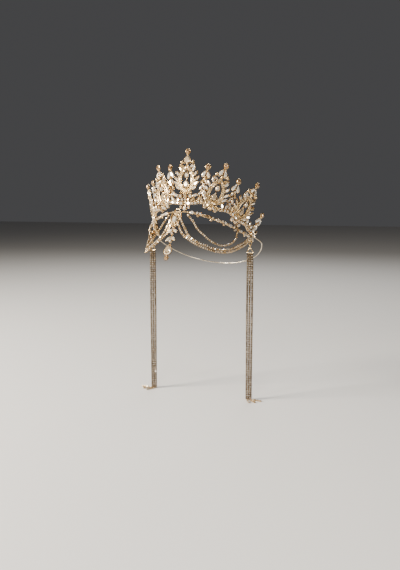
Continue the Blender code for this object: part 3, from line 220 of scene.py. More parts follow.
def plating_group():
    """Colour with painted shade in random patches, roughness and fine grain of plated cast metal."""
    group = new_group(
        "Plating",
        [("Bright", "NodeSocketColor", (0.85, 0.66, 0.42, 1.0)), ("Painted shade", "NodeSocketColor", (0.5, 0.3, 0.12, 1.0)),
         ("Smoothest", "NodeSocketFloat", 0.12), ("Roughest", "NodeSocketFloat", 0.34),
         ("Grain", "NodeSocketFloat", 0.15)],
        [("Colour", "NodeSocketColor"), ("Roughness", "NodeSocketFloat"), ("Normal", "NodeSocketVector")],
    )
    entry = add_node(group, "NodeGroupInput", (-900, 0))
    leave = add_node(group, "NodeGroupOutput", (500, 0))
    coordinates = add_node(group, "ShaderNodeTexCoord", (-900, -300)).outputs["Object"]
    painted_shade_patches = noise_mask(group, coordinates, (-600, 200), 140.0, 3.0, 0.36, 0.64)
    # The darker colour is painted shade, spread in soft random patches.
    colour = colour_mix(group, painted_shade_patches, entry.outputs["Painted shade"], entry.outputs["Bright"], (-150, 200))
    rub = noise_mask(group, coordinates, (-600, -50), 420.0, 4.0, 0.35, 0.7)
    rough = add_node(group, "ShaderNodeMapRange", (-150, -50))
    group.links.new(rub, rough.inputs["Value"])
    group.links.new(entry.outputs["Smoothest"], rough.inputs["To Min"])
    group.links.new(entry.outputs["Roughest"], rough.inputs["To Max"])
    grain = add_node(group, "ShaderNodeTexNoise", (-600, -300))
    grain.inputs["Scale"].default_value = 1600.0
    group.links.new(coordinates, grain.inputs["Vector"])
    bump = add_node(group, "ShaderNodeBump", (-150, -300))
    bump.inputs["Distance"].default_value = 0.0001
    group.links.new(entry.outputs["Grain"], bump.inputs["Strength"])
    group.links.new(grain.outputs["Fac"], bump.inputs["Height"])
    group.links.new(colour, leave.inputs["Colour"])
    group.links.new(rough.outputs["Result"], leave.inputs["Roughness"])
    group.links.new(bump.outputs["Normal"], leave.inputs["Normal"])
    return group


plating = plating_group()
print("group", plating.name, "puts out", [s.name for s in plating.interface.items_tree if s.in_out == "OUTPUT"])

# %% [markdown]
# ## Cut stones
# A foiled stone throws light back from behind, so one facet flashes white while its neighbour looks like
# dark honey. Tracing that inside thousands of tiny stones is slow and noisy. Here every facet carries its
# own random number, named fire, and the finish turns low numbers into honey darkened by a painted dark
# reflection and high ones into a painted white glint, under a hard clear polish that adds true reflections.

# %% Node group for the fire of cut stones


def fire_group():
    """Colour of a facet from its own number, from painted dark reflection through body colour to painted white glint.
    """
    group = new_group(
        "Facet_fire",
        [("Dark", "NodeSocketColor", (0.25, 0.15, 0.07, 1.0)), ("Body", "NodeSocketColor", (0.8, 0.7, 0.55, 1.0)),
         ("Flash", "NodeSocketColor", (1.0, 1.0, 1.0, 1.0)), ("Dark share", "NodeSocketFloat", 0.3),
         ("Flash share", "NodeSocketFloat", 0.6)],
        [("Colour", "NodeSocketColor"), ("Roughness", "NodeSocketFloat")],
    )
    entry = add_node(group, "NodeGroupInput", (-700, 0))
    leave = add_node(group, "NodeGroupOutput", (500, 0))
    fire = add_node(group, "ShaderNodeAttribute", (-700, 250), attribute_name="fire").outputs["Fac"]
    warm = add_node(group, "ShaderNodeMapRange", (-450, 250))
    group.links.new(fire, warm.inputs["Value"])
    group.links.new(entry.outputs["Dark share"], warm.inputs["From Max"])
    flash = add_node(group, "ShaderNodeMapRange", (-450, -50))
    group.links.new(fire, flash.inputs["Value"])
    group.links.new(entry.outputs["Flash share"], flash.inputs["From Min"])
    low = colour_mix(group, warm.outputs["Result"], entry.outputs["Dark"], entry.outputs["Body"], (-150, 200))
    colour = colour_mix(group, flash.outputs["Result"], low, entry.outputs["Flash"], (100, 100))
    rough = add_node(group, "ShaderNodeMapRange", (100, -150))
    rough.inputs["To Min"].default_value = 0.10
    rough.inputs["To Max"].default_value = 0.02
    group.links.new(fire, rough.inputs["Value"])
    group.links.new(colour, leave.inputs["Colour"])
    group.links.new(rough.outputs["Result"], leave.inputs["Roughness"])
    return group


fire = fire_group()
print("group", fire.name)

# %% Metals and stones


def metal_finish(name, bright, painted_shade, smoothest, roughest, grain):
    """A plated metal, with its own painted shade colour."""
    material = bpy.data.materials.new(name)
    material.use_nodes = True
    tree = material.node_tree
    shader = tree.nodes["Principled BSDF"]
    surface = add_node(tree, "ShaderNodeGroup", (-300, 0), node_tree=plating)
    surface.inputs["Bright"].default_value = bright
    surface.inputs["Painted shade"].default_value = painted_shade
    surface.inputs["Smoothest"].default_value = smoothest
    surface.inputs["Roughest"].default_value = roughest
    surface.inputs["Grain"].default_value = grain
    shader.inputs["Metallic"].default_value = 1.0
    tree.links.new(surface.outputs["Colour"], shader.inputs["Base Color"])
    tree.links.new(surface.outputs["Roughness"], shader.inputs["Roughness"])
    tree.links.new(surface.outputs["Normal"], shader.inputs["Normal"])
    return material


def stone_finish(name, dark, body, flash, dark_share, flash_share, metallic):
    """A foiled cut stone, whose glints and dark facets are painted into its colour."""
    material = bpy.data.materials.new(name)
    material.use_nodes = True
    tree = material.node_tree
    shader = tree.nodes["Principled BSDF"]
    facets = add_node(tree, "ShaderNodeGroup", (-300, 0), node_tree=fire)
    facets.inputs["Dark"].default_value = dark
    facets.inputs["Body"].default_value = body
    facets.inputs["Flash"].default_value = flash
    facets.inputs["Dark share"].default_value = dark_share
    facets.inputs["Flash share"].default_value = flash_share
    shader.inputs["Metallic"].default_value = metallic
    shader.inputs["IOR"].default_value = 1.7
    shader.inputs["Coat Weight"].default_value = 1.0
    shader.inputs["Coat Roughness"].default_value = 0.02
    tree.links.new(facets.outputs["Colour"], shader.inputs["Base Color"])
    tree.links.new(facets.outputs["Roughness"], shader.inputs["Roughness"])
    return material


# The second colour of each metal is its painted shade colour.
gold = metal_finish("Champagne_gold", (0.86, 0.61, 0.30, 1.0), (0.42, 0.26, 0.09, 1.0), 0.10, 0.32, 0.15)
chain_gold = metal_finish("Chain_gold", (0.56, 0.37, 0.16, 1.0), (0.22, 0.12, 0.04, 1.0), 0.18, 0.38, 0.20)
pale_wire = metal_finish("Pale_wire", (0.80, 0.70, 0.55, 1.0), (0.60, 0.47, 0.31, 1.0), 0.22, 0.40, 0.10)
# Each stone gives its painted dark reflection, its body colour and its painted white glint.
clear_stone = stone_finish("Clear_stone", (0.10, 0.045, 0.012, 1.0), (0.68, 0.44, 0.17, 1.0), (1.0, 0.95, 0.84, 1.0),
                           0.42, 0.49, 0.60)
white_stone = stone_finish("White_stone", (0.20, 0.11, 0.04, 1.0), (0.84, 0.68, 0.44, 1.0), (1.0, 0.96, 0.86, 1.0),
                           0.35, 0.40, 0.50)
pave_finish = stone_finish("Pave_stone", (0.18, 0.09, 0.03, 1.0), (0.62, 0.40, 0.16, 1.0), (1.0, 0.86, 0.60, 1.0),
                           0.45, 0.65, 0.55)
tip_stone = stone_finish("Champagne_stone", (0.14, 0.06, 0.02, 1.0), (0.50, 0.30, 0.12, 1.0), (1.0, 0.92, 0.78, 1.0),
                         0.50, 0.72, 0.60)
chain_stone = stone_finish("Chain_stone", (0.12, 0.06, 0.02, 1.0), (0.46, 0.30, 0.13, 1.0), (1.0, 0.90, 0.72, 1.0),
                           0.45, 0.70, 0.50)
# The tassels' metal and stones are darker than the crown's: painted shade for the dimmer light low down.
tassel_gold_painted_shade = metal_finish("Tassel_gold_painted_shade", (0.17, 0.12, 0.065, 1.0), (0.06, 0.036, 0.016, 1.0), 0.22, 0.42, 0.20)
tassel_stone_painted_shade = stone_finish("Tassel_stone_painted_shade", (0.04, 0.025, 0.012, 1.0), (0.13, 0.09, 0.055, 1.0), (0.46, 0.39, 0.31, 1.0),
                            0.45, 0.75, 0.50)
FINISHES = (gold, chain_gold, tassel_gold_painted_shade, pale_wire, clear_stone, white_stone, pave_finish, tip_stone, chain_stone,
            tassel_stone_painted_shade)
print("finishes", [finish.name for finish in FINISHES])

# %% [markdown]
# ## Places on the head
# Everything stands on a tilted oval, where the crown meets the head. A place is an angle round that oval, a
# drop down the head and a distance off it. Motifs stand in flared planes, and what hangs lies on the skin.

# %% Places on the head
BASE_HALF_WIDTH = 0.0750
BASE_HALF_LENGTH = 0.0855
BASE_TILT = math.radians(30.0)
FLARE = math.radians(21.4)
CROWN_END_ANGLE = math.radians(88.0)
LEAN_SHIFT = 0.85
MOTIFS = [
    # angle round the oval and lean in degrees, height of the tip above the band
    dict(name="c", angle=0.0, lean=0.0, height=0.0757),
    dict(name="r1", angle=29.8, lean=6.5, height=0.0635),
    dict(name="r2", angle=60.0, lean=8.0, height=0.0585),
    dict(name="l1", angle=-29.8, lean=-6.5, height=0.0635),
    dict(name="l2", angle=-60.0, lean=-8.0, height=0.0585),
]
SPIKES = [
    dict(name="r3", angle=16.4, lean=4.0, height=0.0572),
    dict(name="r4", angle=43.8, lean=3.0, height=0.0500),
    dict(name="r5", angle=83.3, lean=3.0, height=0.0314),
    dict(name="l3", angle=-16.4, lean=-4.0, height=0.0572),
    dict(name="l4", angle=-43.8, lean=-3.0, height=0.0500),
    dict(name="l5", angle=-83.3, lean=-3.0, height=0.0314),
]
SPIKE_SET_BACK = 0.0010
BAND_WAVES = [
    # angle round the oval from the front in degrees, and how far the band rises above the oval there
    dict(angle=0.0, rise=0.0045),
    dict(angle=8.0, rise=0.0055),
    dict(angle=16.4, rise=0.0075),
    dict(angle=29.8, rise=0.0035),
    dict(angle=43.8, rise=0.0060),
    dict(angle=60.0, rise=0.0020),
    dict(angle=68.0, rise=0.0028),
    dict(angle=75.0, rise=0.0),
]
ACROSS = Vector((1.0, 0.0, 0.0))
FORWARD = Vector((0.0, -math.cos(BASE_TILT), math.sin(BASE_TILT)))
UP = Vector((0.0, math.sin(BASE_TILT), math.cos(BASE_TILT)))
FACE = Vector((0.0, 0.0, 1.0))


def outward_at(angle):
    """Direction square to the oval, away from the head."""
    outward = ACROSS * (math.sin(angle) / BASE_HALF_WIDTH) + FORWARD * (math.cos(angle) / BASE_HALF_LENGTH)
    return outward.normalized()


def along_at(angle):
    """Direction along the oval."""
    along = ACROSS * (BASE_HALF_WIDTH * math.cos(angle)) - FORWARD * (BASE_HALF_LENGTH * math.sin(angle))
    return along.normalized()


def head_point(angle, drop=0.0, stand_off=0.0):
    """A point of the head."""
    on_oval = ACROSS * (BASE_HALF_WIDTH * math.sin(angle)) + FORWARD * (BASE_HALF_LENGTH * math.cos(angle))
    return on_oval + outward_at(angle) * stand_off - UP * drop


def facing(origin, along, up):
    """Matrix of a piece whose X runs along, Y up and Z out of its face."""
    out = along.cross(up).normalized()
    square_up = out.cross(along).normalized()
    rotation = Matrix((along.normalized(), square_up, out)).transposed()
    return Matrix.Translation(origin) @ rotation.to_4x4()


def skin_matrix(angle, drop, stand_off):
    """Plane that lies on the head."""
    return facing(head_point(angle, drop, stand_off), along_at(angle), UP)


def tip_matrix(row, set_back=0.0):
    """Plane of a motif or spike, with its origin at the centre of the stone on its tip."""
    angle = math.radians(row["angle"])
    lean = math.radians(row["lean"])
    rise = UP * math.cos(FLARE) + outward_at(angle) * math.sin(FLARE)
    shift = -row["height"] * math.tan(lean) * LEAN_SHIFT
    plane = facing(head_point(angle), along_at(angle), rise)
    turned = plane @ Matrix.Translation((shift, 0.0, 0.0)) @ Matrix.Rotation(-lean, 4, "Z")
    return turned @ Matrix.Translation((0.0, row["height"], -set_back))


def band_rise(angle):
    """How far the band rises above the oval, in smooth waves from motif to motif."""
    degrees = abs(math.degrees(angle))
    for first, second in zip(BAND_WAVES, BAND_WAVES[1:]):
        if degrees <= second["angle"]:
            part = (degrees - first["angle"]) / (second["angle"] - first["angle"])
            ease = part * part * (3.0 - 2.0 * part)
            return first["rise"] + (second["rise"] - first["rise"]) * ease
    return BAND_WAVES[-1]["rise"]


def at(x, y, z=0.0, turn=0.0):
    """Place in a plane, with a turn clockwise as seen from the front."""
    return Matrix.Translation((x, y, z)) @ Matrix.Rotation(-turn, 4, "Z")


def node_centre(node):
    """Middle of a node's box."""
    low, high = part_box(node)
    return (low + high) / 2.0


for row in MOTIFS:
    miss = tip_matrix(row).translation - node_centre("top_bead_" + row["name"])
    print("tip", row["name"], "meets its solid within", round(1000 * miss.length, 2), "mm")

# %% [markdown]
# ## Patterns and pieces
# A pattern is a small mesh. Stamping copies it into a larger bmesh at a matrix, as often as the crown needs
# it, so a thousand stones cost a thousand short copies and become one piece. A finished piece gets its
# material, its shading and the body that it rides on in one call.

# %% Patterns and pieces
SHARP = math.radians(32.0)
STONE_SHARE = 0.40
FIRE_SPREAD = 1.7
# Extra fire on each table: a painted highlight.
TABLE_FIRE = 0.36
SORT_ALONG = Vector((1.0, 0.618, 0.377))


def as_pattern(name, shape):
    """Keep a bmesh as a pattern, with its faces outwards."""
    bmesh.ops.recalc_face_normals(shape, faces=shape.faces)
    mesh = bpy.data.meshes.new(name)
    shape.to_mesh(mesh)
    shape.free()
    return mesh


def stamp(shape, pattern, matrix):
    """Add a copy of a pattern to a bmesh."""
    copy = pattern.copy()
    copy.transform(matrix)
    shape.from_mesh(copy)
    bpy.data.meshes.remove(copy)


def give_fire(mesh, seed):
    """Give each facet a number from 0 to 1: part is its stone's own, part its own, and tables get a painted highlight.
    """
    draw = random.Random(seed)
    values = []
    newest = -1
    oldest_left = [min(facet.vertices) for facet in mesh.polygons]
    for index in range(len(oldest_left) - 2, -1, -1):
        oldest_left[index] = min(oldest_left[index], oldest_left[index + 1])
    for index, facet in enumerate(mesh.polygons):
        if oldest_left[index] > newest:
            stone = draw.random()
        newest = max(newest, max(facet.vertices))
        table = TABLE_FIRE if len(facet.vertices) > 4 else 0.0
        level = STONE_SHARE * stone + (1.0 - STONE_SHARE) * draw.random()
        values.append(min(max(0.5 + FIRE_SPREAD * (level - 0.5) + table, 0.0), 1.0))
    layer = mesh.attributes.new("fire", "FLOAT", "FACE")
    layer.data.foreach_set("value", values)


def make_piece(name, shape, material, body=CROWN, nodes=(), stone=False):
    """Turn a bmesh into a finished piece."""
    mesh = bpy.data.meshes.new(name)
    shape.to_mesh(mesh)
    shape.free()
    mesh.materials.append(material)
    if stone:
        mesh.shade_flat()
        give_fire(mesh, len(mesh.polygons))
    else:
        mesh.shade_smooth()
        mesh.set_sharp_from_angle(angle=SHARP)
    piece = bpy.data.objects.new(name, mesh)
    bpy.context.scene.collection.objects.link(piece)
    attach(piece, body)
    if nodes:
        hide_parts(*nodes)
    mesh.calc_loop_triangles()
    print("piece", name, "has", len(mesh.loop_triangles), "triangles")
    return piece


def outline_point(kind, width, length, turn):
    """A point of a stone's outline, by its turn from the tip at the top."""
    wave = math.sin(turn)
    if kind == "marquise":
        wave *= abs(wave) ** 0.35
    if kind == "pear":
        wave *= math.sin(turn / 2.0) / 0.77
    if kind == "frame":
        wave *= math.sqrt(math.sin(turn / 2.0)) / 0.862
    return Vector((wave * width / 2.0, math.cos(turn) * length / 2.0, 0.0))


def shape_outline(verts, kind, width, length):
    """Bend what was made round, with radius one, into an outline."""
    for vert in verts:
        reach = math.hypot(vert.co.x, vert.co.y)
        if reach > 1e-6:
            turn = math.atan2(vert.co.x, vert.co.y) % (2.0 * math.pi)
            point = outline_point(kind, width, length, turn)
            vert.co.x = point.x * reach
            vert.co.y = point.y * reach


def new_faces(made):
    return [item for item in made["geom"] if isinstance(item, bmesh.types.BMFace)]


def new_verts(made):
    return [item for item in made["geom"] if isinstance(item, bmesh.types.BMVert)]


print("patterns ready")

# %% [markdown]
# ## One cut stone
# A stone starts as a disc, its girdle. The disc is pulled up in steps, and each step is turned by half a
# side, so the bands between them fall into kites and triangles as a real cut does. What is left on top is
# the flat table. The back is a point. Last, the round plan is bent into a pear or a marquise.

# %% Cut stones
ONE_STEP = [dict(reach=0.60, level=1.0)]
TWO_STEPS = [dict(reach=0.84, level=0.55), dict(reach=0.56, level=1.0)]
BACK_SHARE = 0.7


def cut_stone(kind, width, length, height, sides, steps):
    """A faceted stone whose girdle lies in the plane z = 0."""
    shape = bmesh.new()
    bmesh.ops.create_circle(shape, cap_ends=True, segments=sides, radius=1.0)
    girdle = shape.faces[:]
    top = girdle
    reach = 1.0
    level = 0.0
    for step in steps:
        made = bmesh.ops.extrude_face_region(shape, geom=top)
        verts = new_verts(made)
        share = step["reach"] / reach
        bmesh.ops.scale(shape, verts=verts, vec=(share, share, 1.0))
        bmesh.ops.rotate(shape, verts=verts, cent=(0.0, 0.0, 0.0), matrix=Matrix.Rotation(math.pi / sides, 3, "Z"))
        bmesh.ops.translate(shape, verts=verts, vec=(0.0, 0.0, (step["level"] - level) * height))
        top = new_faces(made)
        reach = step["reach"]
        level = step["level"]
    back = [face for face in shape.faces if all(abs(vert.co.z) < 1e-7 for vert in face.verts)]
    point = bmesh.ops.poke(shape, faces=back)["verts"]
    bmesh.ops.translate(shape, verts=point, vec=(0.0, 0.0, -height * BACK_SHARE))
    quads = [face for face in shape.faces if len(face.verts) == 4]
    bmesh.ops.triangulate(shape, faces=quads)
    shape_outline(shape.verts, kind, width, length)
    shape.faces.sort(key=lambda face: face.calc_center_median().dot(SORT_ALONG))
    return shape


stone_test = cut_stone("round", 0.004, 0.004, 0.0015, 8, ONE_STEP)
print("a small round stone has", len(stone_test.faces), "facets")
stone_test.free()

# %% [markdown]
# ## One setting
# Each stone sits in a tapered cup with a thin rim, and small claws are pushed over its girdle. The cup is a
# cone whose top face is inset and sunk, and a claw is a tiny ball stretched towards the stone.

# %% Settings
RIM = 0.00045
CUP_TAPER = 0.72
CLAW = 0.00042


def setting_cup(kind, width, length, depth, sides, rim=RIM):
    """A tapered cup round a stone, with its rim in the plane z = 0."""
    shape = bmesh.new()
    bmesh.ops.create_cone(shape, cap_ends=True, segments=sides, radius1=CUP_TAPER, radius2=1.0, depth=depth)
    bmesh.ops.translate(shape, verts=shape.verts, vec=(0.0, 0.0, -depth / 2.0))
    top = [face for face in shape.faces if all(vert.co.z > -depth * 0.1 for vert in face.verts)]
    share = rim / (width / 2.0 + rim)
    made = bmesh.ops.inset_region(shape, faces=top, thickness=share, depth=0.0)
    sunk = [vert for face in top for vert in face.verts]
    bmesh.ops.translate(shape, verts=sunk, vec=(0.0, 0.0, -depth * 0.35))
    shape_outline(shape.verts, kind, width + 2.0 * rim, length + 2.0 * rim)
    return shape


def add_claws(shape, kind, width, length, turns, size=CLAW):
    """Small claws over the rim at the given turns, in degrees."""
    for degrees in turns:
        place = outline_point(kind, width, length, math.radians(degrees))
        made = bmesh.ops.create_icosphere(shape, subdivisions=1, radius=size,
                                          matrix=Matrix.Translation(place + Vector((0.0, 0.0, size * 0.5))))
        centre = Vector((place.x, place.y, size))
        for vert in made["verts"]:
            if vert.co.z > centre.z:
                vert.co.x *= 0.92
                vert.co.y *= 0.92
    return shape


LEAF_WIDTH = 0.0040
LEAF_LENGTH = 0.0085
PETAL_WIDTH = 0.0050
PETAL_LENGTH = 0.0105
CLUSTER_STONE = 0.0058
EDGE_STONE = 0.0036
PAVE_STONE = 0.0017

SETTINGS = {
    # plan of each stone, how high its crown stands, and where its claws are, in degrees from its tip
    "leaf": dict(kind="marquise", width=LEAF_WIDTH, length=LEAF_LENGTH, height=0.0013, sides=12, claws=(0, 60, 120, 180, 240, 300)),
    "petal": dict(kind="pear", width=PETAL_WIDTH, length=PETAL_LENGTH, height=0.0015, sides=12, claws=(0, 100, 180, 260)),
    "cluster": dict(kind="round", width=CLUSTER_STONE, length=CLUSTER_STONE, height=0.0016, sides=12, claws=(45, 135, 225, 315)),
    "edge": dict(kind="round", width=EDGE_STONE, length=EDGE_STONE, height=0.0011, sides=10, claws=(45, 135, 225, 315)),
}


def setting_patterns(label, row):
    """The stone and the cup of one kind, as two patterns."""
    steps = TWO_STEPS if row["sides"] > 10 else ONE_STEP
    stone = cut_stone(row["kind"], row["width"], row["length"], row["height"], row["sides"], steps)
    cup = setting_cup(row["kind"], row["width"], row["length"], 0.0015, row["sides"])
    add_claws(cup, row["kind"], row["width"], row["length"], row["claws"])
    return dict(stone=as_pattern(label + "_stone", stone), cup=as_pattern(label + "_cup", cup))


PATTERNS = {label: setting_patterns(label, row) for label, row in SETTINGS.items()}
pave_stone = as_pattern("pave_stone", cut_stone("round", PAVE_STONE, PAVE_STONE, 0.0006, 8, ONE_STEP))
print("patterns", {label: len(pair["cup"].polygons) for label, pair in PATTERNS.items()})

# %% Set a stone


STONE_TILT = 7.0
PAVE_TILT = 11.0
hand = random.Random(11)


def tilted(matrix, spread):
    """A place, tilted a little at random: no setter gets two stones quite parallel, and so they sparkle."""
    first = Matrix.Rotation(math.radians(hand.gauss(0.0, spread)), 4, "X")
    second = Matrix.Rotation(math.radians(hand.gauss(0.0, spread)), 4, "Y")
    return matrix @ first @ second


def set_stone(metal, stones, label, matrix, rise=0.0002):
    """Put one setting and its stone into the two bmeshes that gather metal and stones."""
    stamp(metal, PATTERNS[label]["cup"], matrix)
    place = matrix @ Matrix.Translation((0.0, 0.0, rise))
    stamp(stones, PATTERNS[label]["stone"], tilted(place, STONE_TILT))


def wire_pattern(name, points, radius, closed=False, resolution=2):
    """Round wire through points."""
    curve = bpy.data.curves.new(name, "CURVE")
    curve.dimensions = "3D"
    curve.bevel_depth = radius
    curve.bevel_resolution = resolution
    curve.use_fill_caps = True
    spline = curve.splines.new("POLY")
    spline.points.add(len(points) - 1)
    for target, point in zip(spline.points, points):
        target.co = (point[0], point[1], point[2], 1.0)
    spline.use_cyclic_u = closed
    holder = bpy.data.objects.new(name, curve)
    mesh = bpy.data.meshes.new_from_object(holder)
    bpy.data.objects.remove(holder)
    return mesh


def add_wire(shape, points, radius, closed=False, matrix=Matrix.Identity(4)):
    """Add round wire to a bmesh."""
    mesh = wire_pattern("wire", points, radius, closed)
    mesh.transform(matrix)
    shape.from_mesh(mesh)
    bpy.data.meshes.remove(mesh)


def add_ball(shape, radius, matrix, detail=2):
    """Add a round bead to a bmesh."""
    bmesh.ops.create_icosphere(shape, subdivisions=detail, radius=radius, matrix=matrix)


def add_bar(shape, width, height, depth, matrix):
    """Add a bar with softened edges to a bmesh."""
    bar = bmesh.new()
    bmesh.ops.create_cube(bar, size=1.0, matrix=Matrix.Diagonal((width, height, depth, 1.0)))
    bmesh.ops.bevel(bar, geom=bar.edges[:], offset=min(width, height, depth) * 0.2, affect="EDGES", segments=1,
                    profile=0.5, material=-1)
    stamp(shape, as_pattern("bar", bar), matrix)


print("helpers ready")

# %% [markdown]
# ## The leaf-shaped motif
# Five castings from one mould make the crown. Each has a band in the outline of a leaf, paved with two rows
# of tiny stones between thin rails. Leaf stones stand round it, and two larger stones hang inside it over a
# crescent. The motif is built once, measured down from the stone on its tip, and stamped five times.

# %% Leaf band with its paving
BAND_TOP = -0.0185
BAND_LENGTH = 0.0370
BAND_WIDTH = 0.0244
BAND_WIDE = 0.0053
BAND_THICK = 0.0018
BAND_MIDDLE = BAND_TOP - BAND_LENGTH / 2.0
BAND_SIDES = 48
RAIL = 0.00045
PAVE_ROWS = (0.0012, 0.0027, 0.0042)
PAVE_PITCH = 0.00195


def band_loop(inset, level, sides=BAND_SIDES):
    """Points of the leaf band's outline, drawn in by an inset."""
    width = BAND_WIDTH - 2.0 * inset
    length = BAND_LENGTH - 2.0 * inset
    turns = [2.0 * math.pi * index / sides for index in range(sides)]
    middle = Vector((0.0, BAND_MIDDLE, level))
    return [middle + outline_point("frame", width, length, turn) for turn in turns]


def even_turns(width, length, pitch):
    """Turns that space points evenly along the leaf outline."""
    fine = [2.0 * math.pi * index / 720 for index in range(721)]
    points = [outline_point("frame", width, length, turn) for turn in fine]
    lengths = [0.0]
    for first, second in zip(points, points[1:]):
        lengths.append(lengths[-1] + (second - first).length)
    count = int(lengths[-1] / pitch)
    turns = []
    place = 0
    for index in range(count):
        target = lengths[-1] * index / count
        while lengths[place + 1] < target:
            place += 1
        turns.append(fine[place])
    return turns


def leaf_band_metal(shape):
    """The flat band and the rails on both of its edges."""
    plate = bmesh.new()
    bmesh.ops.create_circle(plate, cap_ends=False, segments=BAND_SIDES, radius=1.0)
    outer = plate.verts[:]
    made = bmesh.ops.extrude_edge_only(plate, edges=plate.edges[:])
    inner = new_verts(made)
    shape_outline(outer, "frame", BAND_WIDTH, BAND_LENGTH)
    shape_outline(inner, "frame", BAND_WIDTH - 2.0 * BAND_WIDE, BAND_LENGTH - 2.0 * BAND_WIDE)
    bmesh.ops.translate(plate, verts=plate.verts, vec=(0.0, BAND_MIDDLE, -BAND_THICK / 2.0))
    made = bmesh.ops.extrude_face_region(plate, geom=plate.faces[:])
    bmesh.ops.translate(plate, verts=new_verts(made), vec=(0.0, 0.0, BAND_THICK))
    pattern = as_pattern("band_plate", plate)
    stamp(shape, pattern, Matrix.Identity(4))
    for inset in (RAIL * 0.6, BAND_WIDE - RAIL * 0.6):
        add_wire(shape, band_loop(inset, BAND_THICK / 2.0), RAIL, closed=True)


def leaf_band_paving(metal, stones):
    """Two rows of tiny stones, with a grain of metal between each two."""
    for row in PAVE_ROWS:
        width = BAND_WIDTH - 2.0 * row
        length = BAND_LENGTH - 2.0 * row
        turns = even_turns(width, length, PAVE_PITCH)
        for index, turn in enumerate(turns):
            point = outline_point("frame", width, length, turn)
            place = Matrix.Translation((point.x, point.y + BAND_MIDDLE, BAND_THICK / 2.0 + 0.0002))
            stamp(stones, pave_stone, tilted(place, PAVE_TILT))
            following = turns[(index + 1) % len(turns)]
            between = (point + outline_point("frame", width, length, following)) / 2.0
            spot = Matrix.Translation((between.x, between.y + BAND_MIDDLE, BAND_THICK / 2.0 + 0.0003))
            add_ball(metal, 0.00028, spot, detail=1)


print("outline of the band", round(1000 * BAND_WIDTH, 1), "by", round(1000 * BAND_LENGTH, 1), "mm")

# %% Leaves, shoulders, crescent and foot cluster
LEAVES = [
    # turn round the band from its tip and tilt from upright, both in degrees
    dict(turn=34.0, tilt=62.0),
    dict(turn=56.0, tilt=28.0),
    dict(turn=77.0, tilt=40.0),
    dict(turn=98.0, tilt=47.0),
    dict(turn=119.0, tilt=52.0),
    dict(turn=140.0, tilt=56.0),
]
LEAF_SEAT = 0.0008
BALL_BELOW = 0.0145
BALL_SPREAD = 0.0080
BALL_RADIUS = 0.0024
BOSS_RADIUS = 0.0021
BOSS_BELOW = 0.0166
GRAINS = 7
GRAIN_PITCH = 0.0026
GRAIN_RADIUS = 0.0013
GRAIN_BELOW = 0.0566
GRAIN_LIFT = 0.0009
TEARDROP_WIDTH = 0.0080
TEARDROP_LENGTH = 0.0116
TEARDROP_BELOW = 0.0439
UPPER_WIDTH = 0.0062
UPPER_LENGTH = 0.0076
UPPER_BELOW = 0.0324
CLUSTER_BELOW = 0.0608
CLUSTER_SPREAD = 0.0072
SPINE = 0.0007
SPINE_LEVEL = -0.0013


def leaf_place(x, y, side, tilt, length=LEAF_LENGTH):
    """Place of a leaf stone that grows outwards from a root."""
    reach = length / 2.0 - LEAF_SEAT
    return at(side * (x + reach * math.sin(tilt)), y + reach * math.cos(tilt), 0.0, side * tilt)


def crescent(shape):
    """Thick crescent under the hanging teardrop: a swept wire that swells in its middle."""
    for level, radius in ((0.0004, 0.0010), (0.0016, 0.0010)):
        points = []
        for step in range(13):
            turn = math.radians(102.0 + 156.0 * step / 12.0)
            edge = outline_point("pear", TEARDROP_WIDTH + 0.0024, TEARDROP_LENGTH + 0.0024, turn)
            points.append((edge.x, edge.y - TEARDROP_BELOW, level))
        add_wire(shape, points, radius)


def motif_core():
    """All of a motif but what differs in the middle one: a metal and a stone pattern."""
    metal = bmesh.new()
    stones = bmesh.new()
    leaf_band_metal(metal)
    paving = bmesh.new()
    leaf_band_paving(metal, paving)
    for side in (-1.0, 1.0):
        for leaf in LEAVES:
            root = outline_point("frame", BAND_WIDTH, BAND_LENGTH, math.radians(leaf["turn"]))
            set_stone(metal, stones, "leaf", leaf_place(root.x, root.y + BAND_MIDDLE, side, math.radians(leaf["tilt"])))
        add_ball(metal, BALL_RADIUS, at(side * BALL_SPREAD, -BALL_BELOW, 0.0))
        add_ball(metal, 0.0011, at(side * BALL_SPREAD * 0.55, -BALL_BELOW - 0.0012, 0.0004), detail=1)
    add_bar(metal, 2.0 * BALL_SPREAD, 0.0014, 0.0012, at(0.0, -BALL_BELOW, -0.0008))
    add_ball(metal, BOSS_RADIUS, at(0.0, -BOSS_BELOW, 0.0008))
    grains = []
    for index in range(GRAINS):
        x = (index - (GRAINS - 1) / 2.0) * GRAIN_PITCH
        grains.append((x, GRAIN_LIFT * (x / CLUSTER_SPREAD) ** 2 - GRAIN_BELOW, 0.0))
        add_ball(metal, GRAIN_RADIUS, Matrix.Translation(grains[-1]))
    add_wire(metal, grains, GRAIN_RADIUS * 0.45)
    crescent(metal)
    for x in (-CLUSTER_SPREAD, 0.0, CLUSTER_SPREAD):
        set_stone(metal, stones, "cluster", at(x, -CLUSTER_BELOW, 0.0004))
    add_bar(metal, 2.0 * CLUSTER_SPREAD, 0.0018, 0.0011, at(0.0, -CLUSTER_BELOW, -0.0011))
    return dict(metal=as_pattern("motif_metal", metal), stones=as_pattern("motif_stones", stones),
                paving=as_pattern("motif_paving", paving))


motif = motif_core()
print("one motif has", len(motif["metal"].polygons), "metal faces and", len(motif["paving"].polygons), "paving facets")

